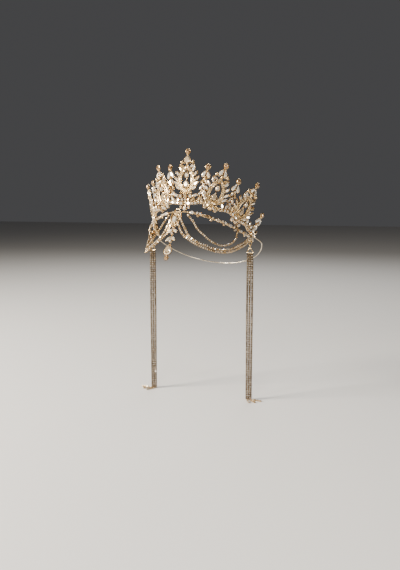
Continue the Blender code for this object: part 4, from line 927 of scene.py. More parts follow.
# %% Fill the crown with its motifs
PETAL_BELOW = 0.0102
PETAL_SPREAD = 0.0029
PETAL_TILT = math.radians(20.0)
PEAR_WIDTH = 0.0098
PEAR_LENGTH = 0.0114
PEAR_BELOW = 0.0104
EXTRA_SPREAD = 0.0053
EXTRA_BELOW = 0.0708
LAST_BELOW = 0.0776
FOOT_STONES = [
    # place of each small stone across and below the tip, between the larger ones of the middle motif's foot
    (-0.0098, 0.0660), (-0.0048, 0.0656), (0.0, 0.0656), (0.0048, 0.0656), (0.0098, 0.0660),
    (0.0, 0.0710), (-0.0058, 0.0762), (0.0058, 0.0762),
]
FOOT_BARS = [
    # width, height and place below the tip of each bar behind those stones
    (0.0196, 0.0014, 0.0657), (0.0116, 0.0014, 0.0762), (0.0014, 0.0200, 0.0680),
]
BEAD_RADIUS = 0.0033

crown_metal = bmesh.new()
crown_stones = bmesh.new()
crown_petals = bmesh.new()
crown_paving = bmesh.new()
cluster_spots = []


def tip_seat(shape, matrix):
    """Small cup and neck under the stone on a tip."""
    place = matrix @ Matrix.Translation((0.0, -BEAD_RADIUS - 0.0008, 0.0)) @ Matrix.Rotation(math.pi / 2.0, 4, "X")
    bmesh.ops.create_cone(shape, cap_ends=True, segments=12, radius1=0.0019, radius2=0.0009, depth=0.0013,
                          matrix=place)


def petals(metal, stones, matrix):
    """Two pear stones that lean together under the tip."""
    for side in (-1.0, 1.0):
        place = matrix @ at(side * PETAL_SPREAD, -PETAL_BELOW, 0.0002, -side * PETAL_TILT)
        set_stone(metal, stones, "petal", place)


def spine(shape, matrix, row):
    """Straight wire behind a motif or spike, from its tip down to the band."""
    foot = band_rise(math.radians(row["angle"])) / math.cos(FLARE) - row["height"]
    points = [(0.0, -BEAD_RADIUS - 0.0006, SPINE_LEVEL), (0.0, foot, SPINE_LEVEL)]
    add_wire(shape, points, SPINE, matrix=matrix)


for row in MOTIFS:
    matrix = tip_matrix(row)
    stamp(crown_metal, motif["metal"], matrix)
    stamp(crown_stones, motif["stones"], matrix)
    stamp(crown_paving, motif["paving"], matrix)
    tip_seat(crown_metal, matrix)
    spine(crown_metal, matrix, row)
    cluster_spots += [matrix @ Vector((x, -CLUSTER_BELOW, 0.0)) for x in (-CLUSTER_SPREAD, 0.0, CLUSTER_SPREAD)]
    if row["name"] != "c":
        petals(crown_metal, crown_petals, matrix)
        continue
    cluster_spots += [matrix @ Vector((x, -EXTRA_BELOW, 0.0)) for x in (-EXTRA_SPREAD, EXTRA_SPREAD)]
    for x in (-EXTRA_SPREAD, EXTRA_SPREAD):
        set_stone(crown_metal, crown_stones, "cluster", matrix @ at(x, -EXTRA_BELOW, 0.0004))
        side = math.copysign(1.0, x)
        foot = leaf_place(CLUSTER_SPREAD + CLUSTER_STONE / 2.0, -CLUSTER_BELOW, side, math.radians(72.0))
        set_stone(crown_metal, crown_stones, "leaf", matrix @ foot)
    for x, below in FOOT_STONES:
        set_stone(crown_metal, crown_stones, "edge", matrix @ at(x, -below, 0.0010))
    for width, height, below in FOOT_BARS:
        add_bar(crown_metal, width, height, 0.0010, matrix @ at(0.0, -below, -0.0010))
    set_stone(crown_metal, crown_stones, "cluster", matrix @ at(0.0, -LAST_BELOW, 0.0006))
print("motifs", len(MOTIFS))

# %% [markdown]
# ## Spikes between the motifs
# A slim spike stands in each gap. Two petals sit under its tip, and pairs of leaf stones follow down its
# stem, closer together than those of the motifs, until they reach the stones of the lower edge.

# %% Spikes
PAIR_TOP = 0.0200
PAIR_PITCH = 0.0088
PAIR_SPREAD = 0.0024
PAIR_TILT = math.radians(26.0)
FOOT_CLEAR = 0.0040

for row in SPIKES:
    matrix = tip_matrix(row, SPIKE_SET_BACK)
    tip_seat(crown_metal, matrix)
    spine(crown_metal, matrix, row)
    petals(crown_metal, crown_petals, matrix)
    below = PAIR_TOP
    foot = row["height"] - band_rise(math.radians(row["angle"]))
    while below + LEAF_LENGTH / 2.0 < foot + FOOT_CLEAR:
        for side in (-1.0, 1.0):
            place = matrix @ at(side * PAIR_SPREAD, -below, 0.0, -side * PAIR_TILT)
            set_stone(crown_metal, crown_stones, "leaf", place)
        set_stone(crown_metal, crown_stones, "edge", matrix @ at(0.0, -below + PAIR_PITCH / 2.0, 0.0012))
        below += PAIR_PITCH
print("spikes", len(SPIKES))

# %% [markdown]
# ## The lower edge
# A plain band runs from ear to ear behind the motifs. On the real crown it can't be seen as a band, because
# a row of small set stones hides it. The band is an open curve along the oval, drawn flat in the oval's own
# plane and given a height.

# %% Band and its row of stones
BAND_HEIGHT = 0.0040
BAND_DEPTH = 0.0018
BAND_STEPS = 160
EDGE_PITCH = 0.0042
EDGE_LEVEL = 0.0013
CLUSTER_COVERS = 0.0031
FRINGE = [
    # leaf stones that stand on the band where no motif covers it: angle, tilt and distance off the band
    dict(angle=10.0, tilt=-30.0, level=0.0002),
    dict(angle=12.6, tilt=20.0, level=0.0009),
    dict(angle=20.4, tilt=-20.0, level=0.0009),
    dict(angle=22.6, tilt=30.0, level=0.0002),
    dict(angle=37.6, tilt=-30.0, level=0.0002),
    dict(angle=40.0, tilt=20.0, level=0.0009),
    dict(angle=47.2, tilt=-20.0, level=0.0009),
    dict(angle=49.6, tilt=30.0, level=0.0002),
    dict(angle=69.0, tilt=-28.0, level=0.0002),
    dict(angle=72.2, tilt=-6.0, level=0.0009),
    dict(angle=75.4, tilt=14.0, level=0.0002),
    dict(angle=78.6, tilt=28.0, level=0.0009),
    dict(angle=86.4, tilt=32.0, level=0.0002),
]


def band_matrix(angle):
    """Flared plane of the band at an angle, with its origin in the band's middle."""
    rise = band_rise(angle)
    up = UP * math.cos(FLARE) + outward_at(angle) * math.sin(FLARE)
    return facing(head_point(angle, -rise, rise * math.tan(FLARE)), along_at(angle), up)


def band_ribbon(shape):
    """The band: a small upright rectangle, carried along the waves by extruding its edges again and again."""
    step = 2.0 * CROWN_END_ANGLE / BAND_STEPS
    profile = bmesh.ops.create_grid(shape, x_segments=1, y_segments=1, size=0.5)["verts"]
    upright = Matrix.Rotation(math.pi / 2.0, 4, "Y") @ Matrix.Diagonal((BAND_DEPTH, BAND_HEIGHT, 1.0, 1.0))
    local = {vert: (upright @ vert.co) for vert in profile}
    for vert, co in local.items():
        vert.co = band_matrix(-CROWN_END_ANGLE) @ co
    corners = [local[vert] for vert in profile]
    edges = shape.edges[:]
    for index in range(1, BAND_STEPS + 1):
        made = bmesh.ops.extrude_edge_only(shape, edges=edges)
        here = band_matrix(-CROWN_END_ANGLE + step * (index - 1)).inverted()
        there = band_matrix(-CROWN_END_ANGLE + step * index)
        for vert in new_verts(made):
            vert.co = there @ (here @ vert.co)
        edges = [item for item in made["geom"] if isinstance(item, bmesh.types.BMEdge)
                 and all(vert in new_verts(made) for vert in item.verts)]
    bmesh.ops.holes_fill(shape, edges=edges, sides=4)
    return len(corners)


def even_angles(start, stop, pitch):
    """Angles round the oval with an even distance between them, measured along the waves."""
    steps = 900
    fine = [start + (stop - start) * index / steps for index in range(steps + 1)]
    points = [band_matrix(angle).translation for angle in fine]
    run = 0.0
    chosen = [fine[0]]
    total = sum((b - a).length for a, b in zip(points, points[1:]))
    gap = total / round(total / pitch)
    for index in range(steps):
        run += (points[index + 1] - points[index]).length
        if run >= gap * len(chosen) - gap * 0.01:
            chosen.append(fine[index + 1])
    return chosen


ribbon = bmesh.new()
band_ribbon(ribbon)
stamp(crown_metal, as_pattern("band_ribbon", ribbon), Matrix.Identity(4))
edge_angles = even_angles(-CROWN_END_ANGLE, CROWN_END_ANGLE, EDGE_PITCH)
for angle in edge_angles:
    place = band_matrix(angle) @ at(0.0, 0.0, EDGE_LEVEL)
    if min((place.translation - spot).length for spot in cluster_spots) > CLUSTER_COVERS:
        set_stone(crown_metal, crown_stones, "edge", place)
for row in FRINGE:
    for side in (-1.0, 1.0):
        plane = band_matrix(side * math.radians(row["angle"]))
        leaf = leaf_place(0.0, BAND_HEIGHT * 0.5, side, math.radians(row["tilt"]))
        set_stone(crown_metal, crown_stones, "leaf", plane @ leaf @ at(0.0, 0.0, row["level"]))
print("stones along the lower edge", len(edge_angles), "leaves on it", 2 * len(FRINGE))

# %% Crown pieces
make_piece("crown_metalwork", crown_metal, gold, nodes=["crown_frame"])
make_piece("crown_set_stones", crown_stones, clear_stone, stone=True)
make_piece("crown_petals", crown_petals, white_stone, stone=True)
make_piece("crown_paving", crown_paving, pave_finish, stone=True)

# %% [markdown]
# ## Stones on the tips and inside the motifs
# A round champagne stone crowns each tip, held by a thin ring. Inside each motif hang a round stone and a
# teardrop, larger and cleaner than the rest, each with a double row of facets and its own fine setting.

# %% Tip stones


def tip_bead(matrix):
    """A round bead, cut with many flat facets."""
    shape = bmesh.new()
    bmesh.ops.create_icosphere(shape, subdivisions=2, radius=BEAD_RADIUS * 0.96, matrix=matrix)
    return shape


def tip_ring(shape, matrix):
    """Thin ring that frames a tip's stone as seen from the front."""
    points = []
    for step in range(20):
        turn = 2.0 * math.pi * step / 20.0
        points.append((BEAD_RADIUS * math.sin(turn), BEAD_RADIUS * math.cos(turn), 0.0))
    add_wire(shape, points, 0.0006, closed=True, matrix=matrix)


tip_rings = bmesh.new()
for rows, set_back in ((MOTIFS, 0.0), (SPIKES, SPIKE_SET_BACK)):
    for row in rows:
        matrix = tip_matrix(row, set_back)
        node = "top_bead_" + row["name"]
        make_piece("tip_stone_" + row["name"], tip_bead(matrix), tip_stone, nodes=[node], stone=True)
        tip_ring(tip_rings, matrix)
make_piece("tip_rings", tip_rings, gold)

# %% Main stones of the motifs
MAIN_HEIGHT = 0.0022
MAIN_LEVEL = 0.0004


def main_stone(kind, width, length, matrix, sides=16):
    """A large stone, moved to its place."""
    shape = cut_stone(kind, width, length, MAIN_HEIGHT, sides, TWO_STEPS)
    bmesh.ops.transform(shape, matrix=matrix, verts=shape.verts)
    bmesh.ops.recalc_face_normals(shape, faces=shape.faces)
    return shape


def main_setting(shape, kind, width, length, matrix, claws, depth=0.0015):
    """The setting of a large stone, added at its place."""
    cup = setting_cup(kind, width, length, depth, 20)
    add_claws(cup, kind, width, length, claws, CLAW * 1.3)
    stamp(shape, as_pattern("main_cup", cup), matrix)


main_cups = bmesh.new()
for row in MOTIFS:
    matrix = tip_matrix(row)
    label = row["name"]
    upper = matrix @ at(0.0, -UPPER_BELOW, MAIN_LEVEL)
    drop = matrix @ at(0.0, -TEARDROP_BELOW, MAIN_LEVEL)
    make_piece("upper_cut_" + label, main_stone("round", UPPER_WIDTH, UPPER_LENGTH, upper), white_stone,
               nodes=["upper_stone_" + label], stone=True)
    make_piece("teardrop_cut_" + label, main_stone("pear", TEARDROP_WIDTH, TEARDROP_LENGTH, drop), white_stone,
               nodes=["teardrop_" + label], stone=True)
    main_setting(main_cups, "round", UPPER_WIDTH, UPPER_LENGTH, upper, (45, 135, 225, 315))
    main_setting(main_cups, "pear", TEARDROP_WIDTH, TEARDROP_LENGTH, drop, (0, 90, 270))
crest = tip_matrix(MOTIFS[0]) @ at(0.0, -PEAR_BELOW, MAIN_LEVEL)
make_piece("crest_cut", main_stone("pear", PEAR_WIDTH, PEAR_LENGTH, crest), white_stone,
           nodes=["crest_pear"], stone=True)
main_setting(main_cups, "pear", PEAR_WIDTH, PEAR_LENGTH, crest, (0, 90, 135, 225, 270))
make_piece("main_settings", main_cups, gold)

# %% [markdown]
# ## Plaque and forehead drop
# Under the front of the band a bar and a small arch carry an oval plaque with one large stone. From its
# eyelet swings the drop: two pairs of leaves with a bead under each pair, then a big teardrop and a small
# round stone at the very end. Everything of the drop rides on its own body, so it swings as one.

# %% Plaque
PLAQUE_ANGLE = math.radians(-6.0)
PLAQUE_STAND_OFF = 0.0036
PLAQUE_DROP = 0.0212
PLAQUE_WIDTH = 0.0138
PLAQUE_LENGTH = 0.0180
PLAQUE_STONE_WIDTH = 0.0082
PLAQUE_STONE_LENGTH = 0.0112
BAR_DROP = 0.0090
BAR_LENGTH = 0.0140
ARCH_RADIUS = 0.0045
EYELET_WIRE = 0.0005
EYELET_RADIUS = 0.0018
LINK_PLAY = 0.0006
LUG_RADIUS = 0.0014
PLAQUE_LUG_DROPS = (-0.0010, 0.0066)
STRIP_STONES = 5

plaque_plane = skin_matrix(PLAQUE_ANGLE, 0.0, PLAQUE_STAND_OFF)
hinge = -PLAQUE_DROP - PLAQUE_LENGTH / 2.0 - 2.0 * EYELET_RADIUS + EYELET_WIRE


def oval_ring(centre, long_axis, wide_axis, half_length, half_width, wire, steps=24):
    """Points of an oval link."""
    points = []
    for step in range(steps):
        turn = 2.0 * math.pi * step / steps
        points.append(centre + long_axis * (half_length * math.cos(turn)) + wide_axis * (half_width * math.sin(turn)))
    return points


def plaque_lugs(side):
    """Centres of the two beads at the plaque's side."""
    centres = []
    for offset in PLAQUE_LUG_DROPS:
        share = min(abs(offset) / (PLAQUE_LENGTH / 2.0), 1.0)
        edge = PLAQUE_WIDTH / 2.0 * math.sqrt(1.0 - share ** 2)
        centres.append(Vector((side * (edge + LUG_RADIUS * 0.6), -PLAQUE_DROP - offset, 0.0)))
    return centres


def ring_of_stones(metal, stones, width, length, pitch, level, matrix):
    """Tiny stones all round an oval, with grains between them."""
    around = math.pi * (width + length) / 2.0
    count = round(around / pitch)
    for index in range(count):
        turn = 2.0 * math.pi * index / count
        half = turn + math.pi / count
        point = outline_point("round", width, length, turn)
        between = outline_point("round", width, length, half)
        stamp(stones, pave_stone, tilted(matrix @ Matrix.Translation((point.x, point.y, level)), PAVE_TILT))
        add_ball(metal, 0.00028, matrix @ Matrix.Translation((between.x, between.y, level)), detail=1)


def make_plaque():
    metal = bmesh.new()
    stones = bmesh.new()
    centre = plaque_plane @ at(0.0, -PLAQUE_DROP)
    plate = bmesh.new()
    bmesh.ops.create_cone(plate, cap_ends=True, segments=32, radius1=1.0, radius2=1.0, depth=0.0014)
    shape_outline(plate.verts, "round", PLAQUE_WIDTH - 0.0004, PLAQUE_LENGTH - 0.0004)
    stamp(metal, as_pattern("plaque_plate", plate), centre)
    for shrink, level in ((0.0003, 0.0008), (0.0034, 0.0010)):
        points = []
        for step in range(36):
            turn = 2.0 * math.pi * step / 36.0
            edge = outline_point("round", PLAQUE_WIDTH - 2.0 * shrink, PLAQUE_LENGTH - 2.0 * shrink, turn)
            points.append((edge.x, edge.y, level))
        add_wire(metal, points, 0.0005, closed=True, matrix=centre)
    ring_of_stones(metal, stones, PLAQUE_WIDTH - 0.0032, PLAQUE_LENGTH - 0.0032, 0.0020, 0.0009, centre)
    main_setting(metal, "round", PLAQUE_STONE_WIDTH, PLAQUE_STONE_LENGTH, centre @ at(0.0, 0.0, 0.0014),
                 (45, 135, 225, 315), 0.0012)
    add_bar(metal, BAR_LENGTH, 0.0022, 0.0016, plaque_plane @ at(0.0, -BAR_DROP, 0.0002))
    for index in range(5):
        x = (index - 2.0) * 0.0028
        stamp(stones, pave_stone, plaque_plane @ at(x, -BAR_DROP, 0.0011))
    arch = []
    for step in range(13):
        turn = math.pi * step / 12.0
        arch.append((ARCH_RADIUS * math.cos(turn), ARCH_RADIUS * math.sin(turn) - BAR_DROP, 0.0))
    add_wire(metal, arch, 0.0008, matrix=plaque_plane)
    for x in (-0.0034, 0.0, 0.0034):
        add_bar(metal, 0.0010, 0.0060, 0.0010, plaque_plane @ at(x, -BAR_DROP - 0.0034, 0.0))
    for side in (-1.0, 1.0):
        top = Vector((side * (BAR_LENGTH / 2.0 - 0.0012), -BAR_DROP - 0.0012, 0.0003))
        low = plaque_lugs(side)[0] + Vector((side * 0.0002, LUG_RADIUS, 0.0003))
        add_wire(metal, [top, low], 0.0009, matrix=plaque_plane)
        for index in range(STRIP_STONES):
            spot = top.lerp(low, (index + 0.5) / STRIP_STONES)
            stamp(stones, pave_stone, plaque_plane @ Matrix.Translation(spot + FACE * 0.0008))
        for lug in plaque_lugs(side):
            add_ball(metal, LUG_RADIUS * 0.96, plaque_plane @ Matrix.Translation(lug))
            reach = lug.x - side * 0.0010
            add_bar(metal, 0.0024, 0.0012, 0.0010, plaque_plane @ at(reach, lug.y, 0.0))
    ring = oval_ring(Vector((0.0, hinge + EYELET_RADIUS, 0.0)), Vector((0.0, 1.0, 0.0)), ACROSS,
                     EYELET_RADIUS, EYELET_RADIUS, EYELET_WIRE)
    add_wire(metal, ring, EYELET_WIRE, closed=True, matrix=plaque_plane)
    make_piece("plaque_metalwork", metal, gold, nodes=["plaque"])
    make_piece("plaque_small_stones", stones, pave_finish, stone=True)
    big = main_stone("round", PLAQUE_STONE_WIDTH, PLAQUE_STONE_LENGTH, centre @ at(0.0, 0.0, 0.0016))
    make_piece("plaque_cut", big, white_stone, nodes=["plaque_stone"], stone=True)


make_plaque()

# %% Forehead drop
DROP_ROWS = [
    # how far under the hinge the middle of each pair of leaves is, and the bead below it
    dict(leaf=0.0046, bead=0.0084),
    dict(leaf=0.0164, bead=0.0202),
]
DROP_LEAF_SPREAD = 0.0038
DROP_LEAF_TILT = math.radians(52.0)
DROP_BEAD = 0.0021
DROP_STONE_WIDTH = 0.0114
DROP_STONE_LENGTH = 0.0156
DROP_STONE_DOWN = 0.0322
DROP_RIM = 0.0011
DROP_END_SIZE = 0.0070
GAP = 0.0003


def make_drop():
    metal = bmesh.new()
    stones = bmesh.new()
    ring_centre = hinge - (EYELET_RADIUS - 2.0 * EYELET_WIRE - LINK_PLAY)
    ring = oval_ring(Vector((0.0, ring_centre, 0.0)), Vector((0.0, 1.0, 0.0)), FACE, EYELET_RADIUS,
                     EYELET_RADIUS, EYELET_WIRE)
    add_wire(metal, ring, EYELET_WIRE, closed=True, matrix=plaque_plane)
    foot = hinge - DROP_STONE_DOWN - DROP_STONE_LENGTH / 2.0 - DROP_RIM
    end_level = foot - DROP_END_SIZE / 2.0 - GAP
    stem = [(0.0, ring_centre - EYELET_RADIUS, 0.0), (0.0, end_level, 0.0)]
    add_wire(metal, stem, 0.0006, matrix=plaque_plane)
    for row in DROP_ROWS:
        for side in (-1.0, 1.0):
            place = plaque_plane @ at(side * DROP_LEAF_SPREAD, hinge - row["leaf"], 0.0003, -side * DROP_LEAF_TILT)
            set_stone(metal, stones, "leaf", place)
        bead_place = plaque_plane @ at(0.0, hinge - row["bead"], 0.0)
        add_ball(metal, DROP_BEAD * 0.9, bead_place)
        set_stone(metal, stones, "edge", plaque_plane @ at(0.0, hinge - row["bead"], 0.0014))
    big_place = plaque_plane @ at(0.0, hinge - DROP_STONE_DOWN, 0.0010)
    main_setting(metal, "pear", DROP_STONE_WIDTH + 0.0008, DROP_STONE_LENGTH + 0.0008, big_place,
                 (0, 70, 110, 180, 250, 290), 0.0017)
    end_place = plaque_plane @ at(0.0, end_level, 0.0010)
    main_setting(metal, "round", DROP_END_SIZE - 0.0006, DROP_END_SIZE - 0.0006, end_place, (45, 135, 225, 315))
    make_piece("drop_metalwork", metal, gold, body=DROP, nodes=["drop_frame"])
    make_piece("drop_leaf_stones", stones, white_stone, body=DROP, stone=True)
    big = main_stone("pear", DROP_STONE_WIDTH, DROP_STONE_LENGTH, big_place)
    make_piece("drop_cut", big, white_stone, body=DROP, nodes=["drop_stone"], stone=True)
    end = main_stone("round", DROP_END_SIZE - 0.0008, DROP_END_SIZE - 0.0008, end_place)
    make_piece("drop_end_cut", end, tip_stone, body=DROP, nodes=["drop_end_stone"], stone=True)


make_drop()

# %% [markdown]
# ## Festoons
# From the plaque's bar to each end runs a stiff row of stones: three round ones in a cluster, then a long
# oval, and so on. It droops away from the band towards the ears, and the single chain hangs from two of its
# beads.

# %% Festoons
END_CLUSTER_ANGLE = math.radians(79.0)
END_CLUSTER_DROP = 0.0045
END_CLUSTER_STAND_OFF = 0.0024
END_CLUSTER_RADIUS = 0.0046
FESTOON_STAND_OFF = 0.0028
FESTOON_ROUTE = [
    dict(share=0.16, drop=0.0092),
    dict(share=0.40, drop=0.0126),
    dict(share=0.66, drop=0.0132),
    dict(share=0.86, drop=0.0124),
]
FESTOON_UNITS = 9
FESTOON_FIRST_SHARE = 0.183
FESTOON_LAST_SHARE = 0.794
FESTOON_END_CLUSTER = 0.865
FESTOON_END_OVAL = 0.924
TREFOIL_REACH = 0.0023
TREFOIL_STONE = 0.0036
OVAL_LENGTH = 0.0084
OVAL_WIDTH = 0.0046
LUG_DROP = 0.0034
SINGLE_START_SHARE = 0.135
SINGLE_END_SHARE = 0.756


def share_angle(side, share):
    """Angle at a share of the way from the plaque to one end."""
    return PLAQUE_ANGLE + share * (side * END_CLUSTER_ANGLE - PLAQUE_ANGLE)


def cluster_plane(side):
    return skin_matrix(side * END_CLUSTER_ANGLE, END_CLUSTER_DROP, END_CLUSTER_STAND_OFF)


def smooth_route(points, pitch):
    """Evenly spaced points on a smooth curve through a route's own points."""
    fine = []
    padded = [points[0] * 2.0 - points[1]] + points + [points[-1] * 2.0 - points[-2]]
    for index in range(1, len(padded) - 2):
        before, start, stop, after = padded[index - 1:index + 3]
        for step in range(24):
            t = step / 24.0
            bend = (stop - before) * t + (before * 2.0 - start * 5.0 + stop * 4.0 - after) * t ** 2
            bend += (start * 3.0 - before - stop * 3.0 + after) * t ** 3
            fine.append(start + bend * 0.5)
    fine.append(points[-1])
    lengths = [0.0]
    for first, second in zip(fine, fine[1:]):
        lengths.append(lengths[-1] + (second - first).length)
    count = max(4, round(lengths[-1] / pitch) + 1)
    spaced = []
    place = 0
    for index in range(count):
        target = lengths[-1] * index / (count - 1)
        while place < len(lengths) - 2 and lengths[place + 1] < target:
            place += 1
        part = (target - lengths[place]) / (lengths[place + 1] - lengths[place])
        spaced.append(fine[place].lerp(fine[place + 1], min(max(part, 0.0), 1.0)))
    return spaced


def festoon_plane(side, share):
    """Plane of the festoon at a share of the way round."""
    shares = [0.0] + [row["share"] for row in FESTOON_ROUTE] + [1.0]
    drops = [BAR_DROP] + [row["drop"] for row in FESTOON_ROUTE] + [END_CLUSTER_DROP + END_CLUSTER_RADIUS]
    for index in range(len(shares) - 1):
        if shares[index] <= share <= shares[index + 1]:
            part = (share - shares[index]) / (shares[index + 1] - shares[index])
            drop = drops[index] + part * (drops[index + 1] - drops[index])
    return skin_matrix(share_angle(side, share), drop, FESTOON_STAND_OFF)


def festoon_lug(side, share):
    return festoon_plane(side, share) @ Vector((0.0, -LUG_DROP, 0.0))


def festoon_patterns():
    """Cluster of three and long oval, each with its stones."""
    small = cut_stone("round", TREFOIL_STONE, TREFOIL_STONE, 0.0010, 10, ONE_STEP)
    small_stone = as_pattern("trefoil_stone", small)
    cup = setting_cup("round", TREFOIL_STONE, TREFOIL_STONE, 0.0013, 12, 0.0003)
    add_claws(cup, "round", TREFOIL_STONE, TREFOIL_STONE, (45, 135, 225, 315), 0.0003)
    small_cup = as_pattern("trefoil_cup", cup)
    metal = bmesh.new()
    stones = bmesh.new()
    for turn in (60.0, 180.0, 300.0):
        place = at(TREFOIL_REACH * math.sin(math.radians(turn)), TREFOIL_REACH * math.cos(math.radians(turn)), 0.0008)
        stamp(metal, small_cup, place)
        stamp(stones, small_stone, place)
    oval = cut_stone("round", OVAL_WIDTH, OVAL_LENGTH, 0.0012, 12, TWO_STEPS)
    oval_cup = setting_cup("round", OVAL_WIDTH, OVAL_LENGTH, 0.0013, 14, 0.0003)
    add_claws(oval_cup, "round", OVAL_WIDTH, OVAL_LENGTH, (40, 140, 220, 320), 0.0003)
    return dict(cluster_metal=as_pattern("trefoil_metal", metal), cluster_stones=as_pattern("trefoil_stones", stones),
                oval_metal=as_pattern("oval_cup", oval_cup), oval_stone=as_pattern("oval_stone", oval))


festoon_units = festoon_patterns()


def make_festoon(side, label):
    metal = bmesh.new()
    stones = bmesh.new()
    start = plaque_plane @ Vector((side * (BAR_LENGTH / 2.0 + 2.0 * GAP), -BAR_DROP, 0.0))
    route = [start]
    for row in FESTOON_ROUTE:
        route.append(head_point(share_angle(side, row["share"]), row["drop"], FESTOON_STAND_OFF))
    end = cluster_plane(side) @ Vector((0.0, 0.0, 0.0))
    route.append(end + (route[-1] - end).normalized() * (END_CLUSTER_RADIUS + 3.0 * GAP))
    add_wire(metal, smooth_route(route, 0.0035), 0.0006)
    step = (FESTOON_LAST_SHARE - FESTOON_FIRST_SHARE) / (FESTOON_UNITS - 1)
    shares = [FESTOON_FIRST_SHARE + step * unit for unit in range(FESTOON_UNITS)]
    for unit, share in enumerate(shares + [FESTOON_END_CLUSTER, FESTOON_END_OVAL]):
        matrix = festoon_plane(side, share)
        if unit % 2 == 0:
            place = matrix @ at(0.0, 0.0, 0.0010, math.radians(90.0))
            stamp(metal, festoon_units["oval_metal"], place)
            stamp(stones, festoon_units["oval_stone"], place)
        else:
            stamp(metal, festoon_units["cluster_metal"], matrix)
            stamp(stones, festoon_units["cluster_stones"], matrix)
    for unit in range(FESTOON_UNITS - 1):
        between = festoon_plane(side, FESTOON_FIRST_SHARE + step * (unit + 0.5))
        add_ball(metal, 0.0013, between @ at(0.0, 0.0, 0.0004), detail=1)
    for share in (SINGLE_START_SHARE, SINGLE_END_SHARE):
        add_ball(metal, LUG_RADIUS * 0.9, Matrix.Translation(festoon_lug(side, share)))
        add_wire(metal, [(0.0, 0.0, 0.0), (0.0, -LUG_DROP, 0.0)], 0.0005, matrix=festoon_plane(side, share))
    name = "festoon_" + label
    make_piece(name + "_metalwork", metal, gold, nodes=[name])
    make_piece(name + "_stones", stones, clear_stone, stone=True)


for side, label in ((1.0, "right"), (-1.0, "left")):
    make_festoon(side, label)

# %% [markdown]
# ## Stone chain
# The chain is a row of tiny square cups with a round stone in each, joined by short links. One unit is
# built and stamped along a route, turned so that its stone faces away from the head. The swags hang as
# loose curves, and the double chain is two such rows side by side.

# %% One unit of stone chain
CHAIN_WIDTH = 0.0026
CHAIN_PITCH = 0.0029
DOUBLE_WIDER = 1.32
CHAIN_STAND_OFF = 0.0018


def chain_cup(link_length=0.0012, link_width=0.0007, pitch=CHAIN_PITCH):
    """A low square cup with four corner claws and a link on one side."""
    shape = bmesh.new()
    bmesh.ops.create_cone(shape, cap_ends=True, segments=8, radius1=0.42, radius2=0.50, depth=1.0)
    bmesh.ops.scale(shape, verts=shape.verts, vec=(CHAIN_WIDTH, CHAIN_WIDTH, 0.0012))
    bmesh.ops.translate(shape, verts=shape.verts, vec=(0.0, 0.0, -0.0003))
    for x in (-1.0, 1.0):
        for y in (-1.0, 1.0):
            corner = Matrix.Translation((x * CHAIN_WIDTH * 0.33, y * CHAIN_WIDTH * 0.33, 0.0004))
            bmesh.ops.create_icosphere(shape, subdivisions=1, radius=0.0003, matrix=corner)
    link = Matrix.Translation((pitch / 2.0, 0.0, -0.0005)) @ Matrix.Diagonal((link_length, link_width, 0.0005, 1.0))
    bmesh.ops.create_cube(shape, size=1.0, matrix=link)
    return shape


chain_unit = as_pattern("chain_cup", chain_cup())
chain_gem = as_pattern("chain_gem", cut_stone("round", CHAIN_WIDTH * 0.84, CHAIN_WIDTH * 0.84, 0.0007, 8, ONE_STEP))


def add_chain(metal, stones, points, outward, wider=1.0, cup=chain_unit):
    """Stamp units along points, facing as outward says for each place."""
    for index, point in enumerate(points):
        after = points[min(index + 1, len(points) - 1)]
        before = points[max(index - 1, 0)]
        along = (after - before).normalized()
        up = outward(point).cross(along).normalized()
        matrix = facing(point, along, up) @ Matrix.Diagonal((1.0, wider, 1.0, 1.0))
        stamp(metal, cup, matrix)
        stamp(stones, chain_gem, tilted(matrix @ Matrix.Translation((0.0, 0.0, 0.00035)), STONE_TILT))


def off_head(point):
    """Direction away from the middle of the head, square to the way up it."""
    level = point - UP * point.dot(UP)
    return level.normalized()


print("one chain unit has", len(chain_unit.polygons) + len(chain_gem.polygons), "faces")

# %% Swags
SINGLE_CHAIN_ROUTE = [
    dict(share=0.215, drop=0.0215),
    dict(share=0.286, drop=0.0316),
    dict(share=0.381, drop=0.0392),
    dict(share=0.453, drop=0.0436),
    dict(share=0.537, drop=0.0455),
    dict(share=0.610, drop=0.0441),
    dict(share=0.684, drop=0.0383),
    dict(share=0.750, drop=0.0284),
]
DOUBLE_CHAIN_ROUTE = [
    dict(share=0.130, drop=0.0375, apart=0.0062),
    dict(share=0.185, drop=0.0443, apart=0.0040),
    dict(share=0.250, drop=0.0490, apart=0.0034),
    dict(share=0.330, drop=0.0525, apart=0.0034),
    dict(share=0.420, drop=0.0543, apart=0.0034),
    dict(share=0.520, drop=0.0543, apart=0.0034),
    dict(share=0.620, drop=0.0517, apart=0.0034),
    dict(share=0.700, drop=0.0468, apart=0.0034),
    dict(share=0.780, drop=0.0395, apart=0.0034),
    dict(share=0.860, drop=0.0302, apart=0.0034),
    dict(share=0.925, drop=0.0222, apart=0.0034),
]
CLUSTER_LUGS = [
    dict(forward=0.0056, down=0.0077, root_forward=0.0026, root_down=0.0056),
    dict(forward=0.0028, down=0.0094, root_forward=0.0030, root_down=0.0070),
]


def cluster_lug(side, lug):
    return cluster_plane(side) @ Vector((-side * lug["forward"], -lug["down"], 0.0))


def hung_between(route, first, last):
    """Complete a route so that it starts and ends just clear of the two beads that carry it."""
    reach = LUG_RADIUS + GAP
    start = first + (route[0] - first).normalized() * reach
    stop = last + (route[-1] - last).normalized() * reach
    return [start] + route + [stop]


def make_swag(name, route, first, last, wider=1.0):
    metal = bmesh.new()
    stones = bmesh.new()
    add_chain(metal, stones, smooth_route(hung_between(route, first, last), CHAIN_PITCH), off_head, wider)
    make_piece(name + "_cups", metal, chain_gold, nodes=[name])
    make_piece(name + "_stones", stones, chain_stone, stone=True)


